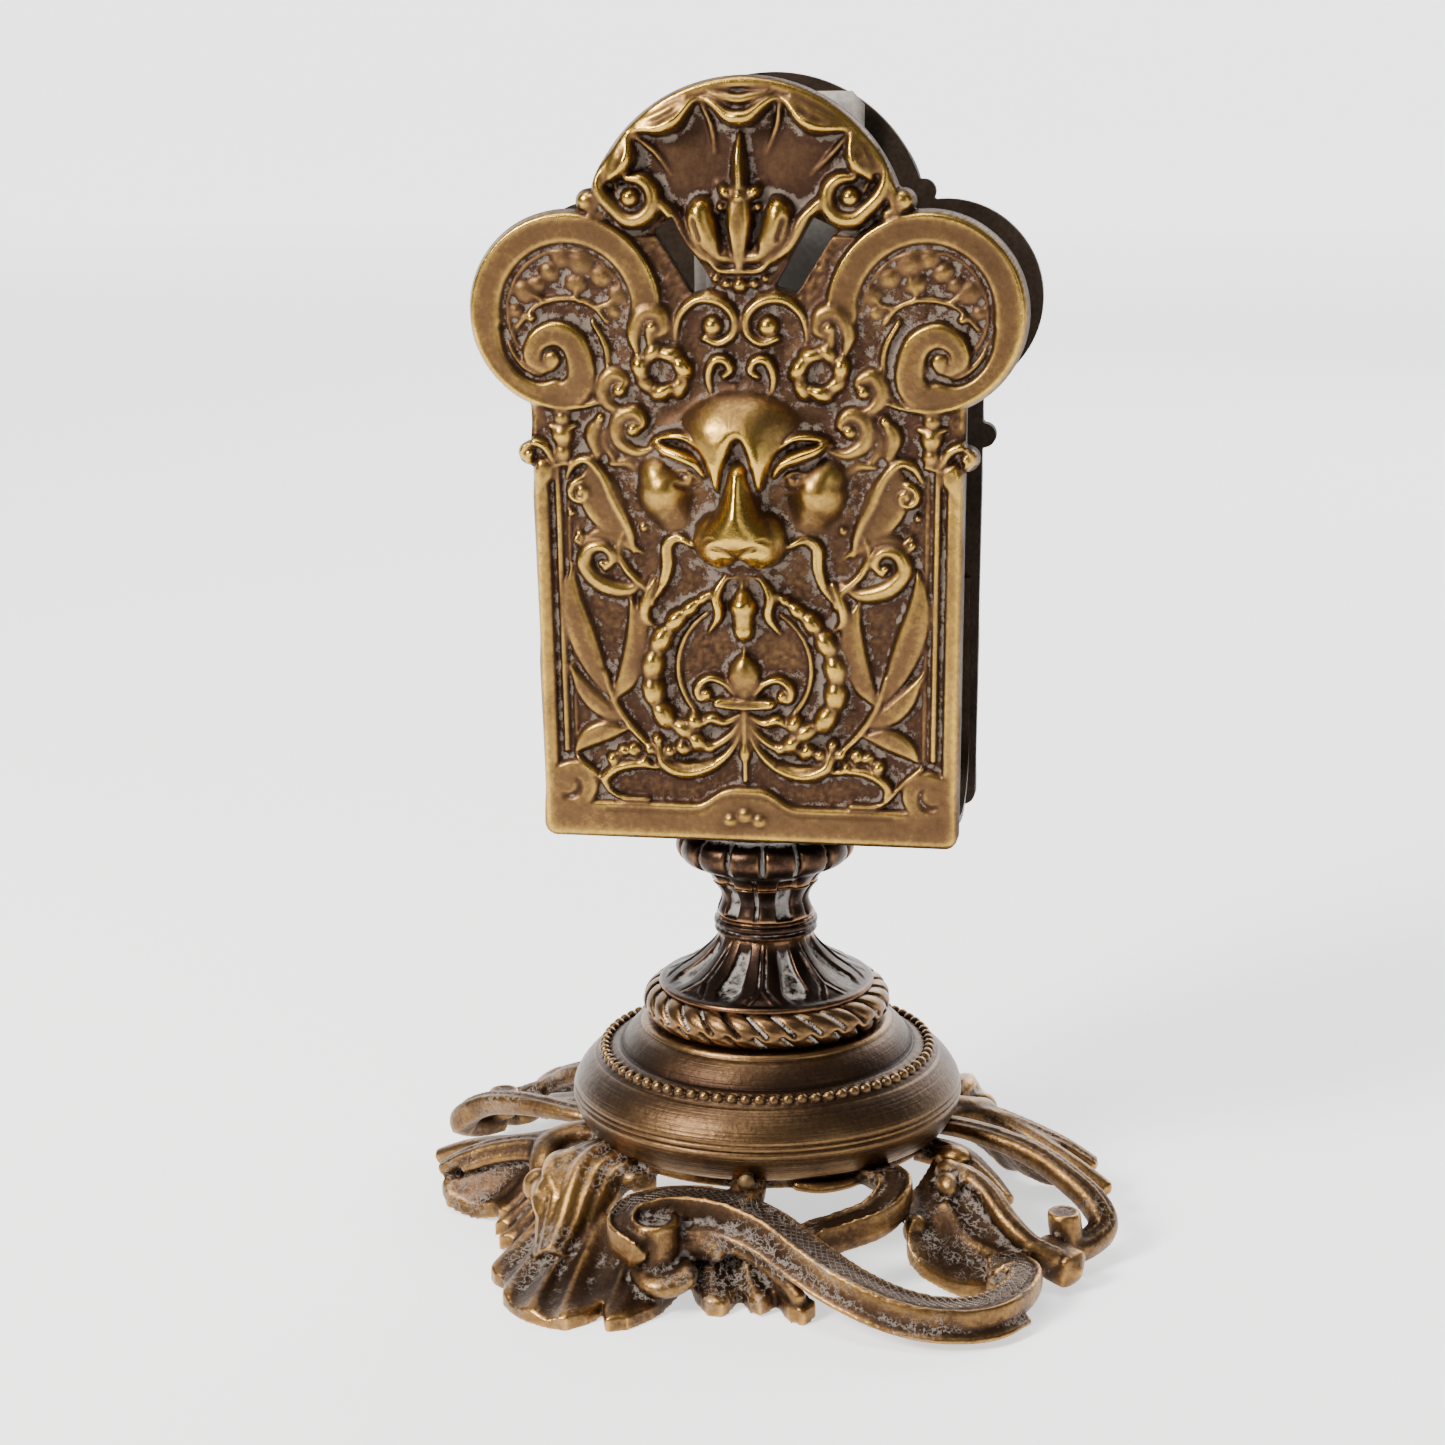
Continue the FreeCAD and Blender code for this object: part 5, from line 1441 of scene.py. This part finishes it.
def foot_forms():
    """The closed forms of half the foot, in millimetres."""
    forms = [fan_leaf()]

    def bar(stations, section=ROUND):
        forms.append(sweep(stations, section))

    def leaf(stations, thickness=1.5, **more):
        forms.append(leaf_sheet(stations, thickness, **more))

    def ball(r, azimuth, z, radii, turn=0.0):
        forms.append(ball_mesh((r, azimuth, z), radii, turn))

    # the ridged trunk that rolls over into the fan, and its rubbed knobs
    leaf([(22.0, -137, 13.8, 7.2), (27.0, -138.5, 13.8, 7.2), (31.0, -136.5, 12.9, 6.4),
          (34.5, -132.0, 10.8, 5.4), (38.0, -128.0, 7.8, 4.4), (41.8, -125.0, 5.2, 3.0)], 3.0, crown=2.6,
         veins=3, depth=0.55, across=41)
    ball(31.0, -142.0, 12.0, (3.4, 2.8, 2.4), -140)
    ball(34.8, -137.5, 10.0, (3.2, 2.7, 2.6), -140)
    ball(35.2, -146.5, 8.8, (2.4, 2.0, 2.6), -145)
    bar([(30.5, -149, 12.2, 0.9, 0.9), (33.4, -144.5, 12.6, 1.2, 1.1), (35.6, -138.5, 11.8, 1.2, 1.1),
         (36.6, -132.5, 10.2, 0.9, 0.9)])
    bar([(33.4, -148.0, 9.8, 0.8, 0.8), (36.2, -142.5, 9.6, 1.1, 1.0), (38.0, -136.5, 8.6, 1.0, 0.9),
         (38.8, -131.5, 7.2, 0.7, 0.7)])
    # the smooth rolled edge along the fan's left side
    bar([(23.5, -158, 13.2, 2.4, 1.6), (28.5, -160.5, 12.8, 2.3, 1.7), (31.8, -158.5, 11.8, 2.3, 1.8),
         (33.4, -153, 10.4, 2.1, 1.8), (34.2, -149, 8.8, 1.7, 1.6)])
    bar([(31.0, -158, 11.8, 2.1, 1.4), (34.6, -163.5, 11.2, 2.0, 1.4), (39.4, -167.5, 9.6, 1.9, 1.4),
         (43.6, -169.5, 7.8, 1.8, 1.3), (47.2, -170.5, 5.6, 1.6, 1.2)], RIDGE)
    bar([(32.4, -155.5, 9.8, 0.8, 0.8), (35.2, -160.5, 10.0, 0.9, 0.9), (39.6, -165.0, 8.6, 0.9, 0.9),
         (44.0, -167.3, 6.6, 0.8, 0.8)])
    # the feather's raised edge under the scroll
    bar([(33.0, -98, 8.6, 0.7, 0.8), (34.0, -90, 8.2, 1.0, 1.0), (35.6, -83, 7.2, 1.1, 1.1),
         (38.0, -77.5, 5.4, 1.1, 1.2), (40.2, -74.3, 3.2, 1.0, 1.2)])
    # the great S scroll, its drum and its hooked end
    bar(SCROLL, CHANNEL)
    bar([(r + 0.5, azimuth, max(z - 1.9, 1.2), half + 0.9, 0.9) for r, azimuth, z, half, _ in SCROLL[4:-3]])
    forms.append(drum_mesh(36.6, -104.6, 3.4, 12.0, 3.3, 0.4))
    forms.append(drum_mesh(48.6, -40.6, 1.4, 4.9, 2.2, 0.3))
    bar([(36.8, -106.5, 5.2, 3.0, 1.8), (38.5, -101.5, 4.0, 3.4, 2.0), (37.0, -96.5, 5.2, 2.6, 1.8)])
    bar([(34.4, -101.5, 7.8, 1.8, 2.4), (34.0, -96.0, 7.8, 1.7, 2.2), (34.6, -90.5, 7.4, 1.3, 1.6)])
    # the C curl between the scroll and the ring
    bar([(38.6, -75.5, 7.2, 1.9, 2.0), (34.6, -72, 8.4, 2.2, 2.2), (33.2, -63, 9.0, 2.3, 2.3),
         (33.4, -54.5, 10.2, 2.4, 2.3), (32.0, -48.0, 11.8, 2.5, 2.2), (29.2, -45.0, 12.9, 2.5, 1.9),
         (25.0, -46.5, 13.2, 2.4, 1.2)], CHANNEL)
    bar([(24.0, -70, 12.9, 2.0, 1.1), (25.6, -64, 12.6, 1.2, 0.9), (25.4, -56, 12.6, 1.4, 0.9),
         (24.4, -50, 12.9, 2.0, 1.1)])
    # the right leaf with its ridge, its knobs and the boss at its tip
    forms.append(ruled_leaf([(27.5, -22, 13.0), (31.5, -26, 12.6), (35.0, -28.0, 12.0),
                             (39.0, -29.4, 10.2), (43.0, -30.0, 8.0), (47.6, -29.0, 5.6)],
                            [(29.5, -38, 11.0), (33.4, -45.5, 9.2), (37.2, -49.4, 6.4), (41.2, -45.0, 3.2),
                             (44.8, -38.5, 2.3), (47.6, -33.0, 2.6)], 2.4, crown=-0.5, ribs=2, depth=0.35))
    bar([(30.4, -25.5, 12.4, 1.3, 1.2), (34.6, -27.6, 12.6, 1.6, 1.5), (38.4, -28.6, 11.2, 1.7, 1.6),
         (42.4, -30.4, 8.8, 1.6, 1.5), (46.4, -30.4, 6.4, 1.5, 1.5), (49.6, -28.6, 4.8, 1.7, 1.6)],
        RIDGE)
    ball(29.6, -18.0, 12.8, (2.5, 2.0, 1.4), -18)
    ball(31.6, -27.5, 12.2, (2.4, 1.8, 2.0), -60)
    ball(33.2, -32.0, 11.6, (2.2, 1.6, 1.9), -70)
    ball(34.2, -44.2, 7.6, (1.6, 2.0, 2.2), -44)
    bar([(34.0, -35, 9.6, 1.4, 1.2), (38.6, -36.0, 6.4, 1.5, 1.2), (43.5, -33.5, 4.4, 1.4, 1.2),
         (48, -29.5, 3.4, 1.3, 1.2)])
    bar([(45.6, -26.6, 4.4, 2.3, 2.3), (48.4, -26.9, 3.6, 2.5, 2.5), (51.4, -27.2, 3.1, 2.5, 2.5)], BOX)
    forms.append(drum_mesh(47.6, -21.2, 4.2, 8.8, 2.3, 0.3, lean=(-0.6, 0.5)))
    # the outer arm that comes from the ring, turns down and in to the boss
    bar([(23.5, 6, 13.0, 2.6, 1.1), (28.5, 2.5, 12.9, 2.2, 1.3), (34.0, -2.4, 12.5, 1.9, 1.6),
         (39.5, -6.6, 11.6, 1.9, 1.8), (44.6, -10.2, 9.8, 2.0, 1.9), (48.6, -12.0, 7.4, 2.1, 2.0),
         (50.4, -13.6, 4.9, 2.1, 2.0), (49.6, -17.4, 3.6, 2.0, 1.9), (48.2, -21.8, 3.4, 2.0, 1.9)],
        RIDGE)
    leaf([(24.0, -12, 13.1, 3.2), (29.0, -13.5, 12.6, 3.4), (34.0, -17.5, 10.8, 2.6),
          (38.6, -21.5, 9.0, 1.6)], 1.8, crown=1.0, veins=2)
    bar([(25.0, 14, 12.8, 2.4, 1.2), (29.0, 17.5, 12.4, 1.9, 1.4), (33.4, 16.5, 11.4, 1.6, 1.4),
         (37.2, 12.2, 10.0, 1.5, 1.4), (40.6, 7.6, 8.6, 1.4, 1.4), (44.6, 4.0, 6.8, 1.4, 1.4),
         (48.8, 1.4, 4.6, 1.3, 1.3)])
    # the tab that the pin holds
    bar([(24.0, -86, 13.6, 2.4, 0.9), (27.0, -86, 13.4, 2.5, 1.2), (29.2, -86, 12.9, 2.3, 1.4),
         (30.6, -89, 11.9, 1.9, 1.4)], BOX)
    return forms


def mark_hatching(mesh, points):
    """Where each vertex lies along and across the scrolls' sunk tops, for their cross hatching."""
    path = smooth_path([(*polar(*s[:3]), *s[3:]) for s in SCROLL[2:]], 8)
    run = np.concatenate([[0], np.cumsum(np.hypot(*np.diff(path[:, :2], axis=0).T))])
    tangent = np.gradient(path[:, :2], axis=0)
    tangent /= np.linalg.norm(tangent, axis=1, keepdims=True)
    along, across, on = np.zeros(len(points)), np.zeros(len(points)), np.zeros(len(points))
    for turn in (1.0, -1.0):
        place = points * np.array([turn, turn, 1.0])
        close = np.nonzero((place[:, 1] < -15) & (place[:, 0] > -25))[0]
        offset = place[close, None, :2] - path[None, :, :2]
        k = (offset ** 2).sum(-1).argmin(1)
        nearest = offset[np.arange(len(close)), k]
        sideways = nearest[:, 0] * tangent[k, 1] - nearest[:, 1] * tangent[k, 0]
        forward = (nearest * tangent[k]).sum(1)
        here = np.abs(sideways) < path[k, 3] * 0.62
        here &= place[close, 2] > path[k, 2] + path[k, 4] * 0.35
        here &= place[close, 2] < path[k, 2] + path[k, 4] * 1.1
        close_here = close[here]
        along[close_here] = (run[k] + forward)[here]
        across[close] = np.where(here, sideways, across[close])
        on[close_here] = 1.0
    store(mesh, "hatch_along", along)
    store(mesh, "hatch_across", across)
    store(mesh, "hatch_on", on)


def joined(forms, voxel):
    """One skin round all the closed forms, smoothed a little."""
    points, faces, count = [], [], 0
    for form_points, form_faces in forms:
        points.append(form_points)
        faces += [[i + count for i in face] for face in form_faces]
        count += len(form_points)
    rough = add_object("foot_rough", new_mesh("foot_rough", np.vstack(points), faces))
    remesh = rough.modifiers.new("remesh", "REMESH")
    remesh.mode = "VOXEL"
    remesh.voxel_size = voxel * MM
    smooth = rough.modifiers.new("smooth", "SMOOTH")
    smooth.factor = 0.5
    smooth.iterations = 2
    fewer = rough.modifiers.new("fewer", "DECIMATE")
    fewer.ratio = 0.56
    graph = bpy.context.evaluated_depsgraph_get()
    skin = bpy.data.meshes.new_from_object(rough.evaluated_get(graph))
    bpy.data.objects.remove(rough)
    return skin


def fit_to_box(mesh, node):
    """Stretches a mesh outward to the box of its CAD solid, and returns its points in metres."""
    points = np.empty(len(mesh.vertices) * 3)
    mesh.vertices.foreach_get("co", points)
    points = points.reshape(-1, 3)
    low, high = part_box(node)
    outward = unit((np.hypot(points[:, 0], points[:, 1]) / MM - 30) / 12)
    for k in range(2):
        points[:, k] *= 1 + outward * (high[k] / points[:, k].max() - 1)
    clear = 0.02 * MM
    for k in range(3):
        points[:, k] = np.clip(points[:, k], low[k] + (0.0 if k == 2 else clear), high[k] - clear)
    mesh.vertices.foreach_set("co", points.ravel())
    mesh.update()
    return points


def add_foot():
    """The openwork foot: two equal halves and the ring that joins them, in one skin."""
    half = foot_forms()
    forms = [(points * np.array([turn, turn, 1.0]), faces) for turn in (1, -1) for points, faces in half]
    ring = [(21.5, 12.5), (24.9, 12.4), (25.0, 12.8), (24.95, 14.1), (24.6, 14.2), (21.6, 14.2)]
    mesh = joined([*forms, lathe(ring, 160)], FOOT_VOXEL)
    points = fit_to_box(mesh, "foot_plate") / MM
    mark_hatching(mesh, points)
    rubbed = np.zeros(len(points))
    for place, reach, amount in ((polar(36.0, -135, 9.5), 7.0, 0.42), (polar(36.6, -104.6, 9.0), 4.5, 0.16),
                                 (polar(31.5, -28, 13.0), 4.5, 0.12), (polar(48.6, -40.6, 5.0), 4.0, 0.12)):
        for turn in (1, -1):
            off = points - place * np.array([turn, turn, 1])
            rubbed += amount * np.exp(-(off ** 2).sum(1) / reach ** 2)
    finish_piece("scroll_foot", mesh, foot_metal, "foot_bronze", "foot_plate",
                 wear={"fine": (2, 0.10), "broad": (20, 0.55), "lift": rubbed})


# ======== the blotting slips ========


def add_slips():
    """Six thin slips of paper with rounded upper corners. The two in front stand higher and to one side."""
    rng = np.random.RandomState(5)
    low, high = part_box("blotting_slips")
    x0, x1, z0, z1 = low.x / MM + 0.05, high.x / MM - 0.05, low.z / MM + 0.05, high.z / MM - 0.05
    y0 = low.y / MM
    slips, thickness, corner, shift = 6, 0.26, 1.4, 1.9
    pitch = (high.y - low.y) / MM / slips
    u, v = np.linspace(0, 1, 25), np.linspace(0, 1, 60)
    points, faces = [], []
    count = 0
    for leaf in range(slips):
        a, b = x0 + rng.uniform(0, 0.5), x1 - rng.uniform(0, 0.5)
        top = z1 - (0 if leaf == 2 else rng.uniform(0.1, 1.1))
        if leaf < 2:
            a, b, top = a + shift, b + shift, z1 + 1.4 - 0.3 * leaf
        U, V = np.meshgrid(u, v)
        H = (top - z0) * V
        near = np.clip(H - (top - z0 - corner), 0, corner)
        inset = corner - np.sqrt(np.maximum(corner ** 2 - near ** 2, 0))
        X = a + inset + (b - a - 2 * inset) * U
        wave = 0.035 * np.sin(U * 5 + V * 3 + 0.6) + 0.03 * np.sin(V * 11 + 1.0)
        middle = y0 + pitch * (leaf + 0.5) + wave
        for side in (-0.5, 0.5):
            points.append(np.stack([X, middle + side * thickness, z0 + H], -1).reshape(-1, 3))
        n, m = U.shape
        front = grid_faces(n, m, start=count)
        back = [f[::-1] for f in grid_faces(n, m, start=count + n * m)]
        loop = [i for i in range(m)] + [i * m + m - 1 for i in range(1, n)]
        loop += [(n - 1) * m + i for i in range(m - 2, -1, -1)] + [i * m for i in range(n - 2, 0, -1)]
        edge = [[count + j, count + i, count + n * m + i, count + n * m + j]
                for i, j in zip(loop, loop[1:] + loop[:1])]
        faces += front + back + edge
        count += 2 * n * m
    add_piece("paper_slips", np.vstack(points), faces, slip_paper, "blotting_paper", "blotting_slips",
              body="slips")


add_plates(PLATE_STEP)
add_gadroon_cap()
add_fluted_cup()
add_stem_collar()
add_leaf_flare()
add_rope_ring()
add_dome()
add_foot()
add_slips()

for node, material in (("u_trough", dull_metal), ("front_rivets", pin_metal), ("back_rivets", pin_metal),
                       ("saddle_washer", pin_metal), ("top_nut", pin_metal), ("tie_rod", rod_metal),
                       ("foot_pins", pin_metal), ("lower_washer", pin_metal), ("lower_nut", pin_metal)):
    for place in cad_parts[node].material_slots:
        place.material = material

# ======== floor, lights and camera ========


def add_stage():
    """A pale floor that sweeps up into a far backdrop."""
    profile = [(-3.0, 0.0), (2.2, 0.0)] + [(2.2 + 1.2 * sin(a), 1.2 - 1.2 * cos(a))
                                           for a in np.radians(range(10, 91, 10))]
    profile += [(3.4, 4.0)]
    points = [(x, y, z) for y, z in profile for x in (-5.0, 5.0)]
    mesh = bpy.data.meshes.new("floor")
    mesh.from_pydata(points, [], grid_faces(len(profile), 2))
    mesh.polygons.foreach_set("use_smooth", np.ones(len(mesh.polygons), bool))
    material, tree, shader = new_material("floor_white")
    link(tree, ramp(tree, noise(tree, 3.0, 2.0), [(0.3, (0.86, 0.86, 0.86)), (0.7, (0.88, 0.88, 0.88))]),
         shader.inputs["Base Color"])
    shader.inputs["Roughness"].default_value = 0.9
    shader.inputs["Emission Color"].default_value = (1.0, 1.0, 1.0, 1.0)
    link(tree, map_range(tree, object_axes(tree)["Y"], -0.2, 3.2, 0.95, 2.4),
         shader.inputs["Emission Strength"])
    mesh.materials.append(material)
    add_object("floor", mesh)


def add_light(name, place, aim, size, energy, colour=(1, 1, 1)):
    """A soft rectangular light at a place, aimed at another."""
    light = bpy.data.lights.new(name, "AREA")
    light.shape = "RECTANGLE"
    light.size, light.size_y = size
    light.energy = energy
    light.color = colour
    lamp = add_object(name, light)
    lamp.location = place
    lamp.rotation_euler = (Vector(aim) - Vector(place)).to_track_quat("-Z", "Y").to_euler()


def add_world():
    """A grey sky, darker above the horizon and pale overhead."""
    world = bpy.data.worlds.new("studio")
    world.use_nodes = True
    sky = world.node_tree
    place = sky.nodes.new("ShaderNodeTexCoord")
    parts = sky.nodes.new("ShaderNodeSeparateXYZ")
    link(sky, place.outputs["Generated"], parts.inputs["Vector"])
    height = math_node(sky, "MULTIPLY_ADD", parts.outputs["Z"], 0.5, 0.5)
    glow = ramp(sky, height, [(0.0, (0.75, 0.75, 0.75)), (0.50, (0.62, 0.62, 0.62)),
                              (0.62, (0.20, 0.20, 0.205)), (0.80, (0.30, 0.31, 0.33)),
                              (1.0, (0.75, 0.77, 0.80))])
    link(sky, glow, sky.nodes["Background"].inputs["Color"])
    sky.nodes["Background"].inputs["Strength"].default_value = 0.45
    bpy.context.scene.world = world


def add_camera(place, yaw, pitch, roll):
    """The camera at the photograph's angle: turned left by yaw, tipped down by pitch, in radians."""
    data = bpy.data.cameras.new("camera")
    data.lens = 71.71
    data.sensor_width = 36.0
    data.clip_start, data.clip_end = 0.01, 30.0
    camera = add_object("camera", data)
    bpy.context.scene.camera = camera
    ahead = Vector((-sin(yaw) * cos(pitch), cos(yaw) * cos(pitch), -sin(pitch)))
    right = Vector((cos(yaw), sin(yaw), 0))
    up = right.cross(ahead)
    right, up = cos(roll) * right + sin(roll) * up, cos(roll) * up - sin(roll) * right
    axes = Matrix((right, up, -ahead)).transposed()
    camera.matrix_world = Matrix.Translation(place) @ axes.to_4x4()


add_stage()
TARGET = (0.0, 0.0, 0.08)
add_light("key", (-0.55, -0.62, 0.66), TARGET, (0.26, 0.34), 20.0, (1.0, 0.97, 0.92))
add_light("fill", (0.75, -0.65, 0.30), TARGET, (0.5, 0.6), 1.6, (0.93, 0.96, 1.0))
add_light("back", (0.30, 0.85, 0.55), TARGET, (0.6, 0.4), 4.0)
add_light("top", (-0.2, -0.1, 1.1), TARGET, (0.5, 0.5), 7.0)
add_world()
add_camera((0.06727, -0.38927, 0.16714), 0.186, 0.235, -0.012)
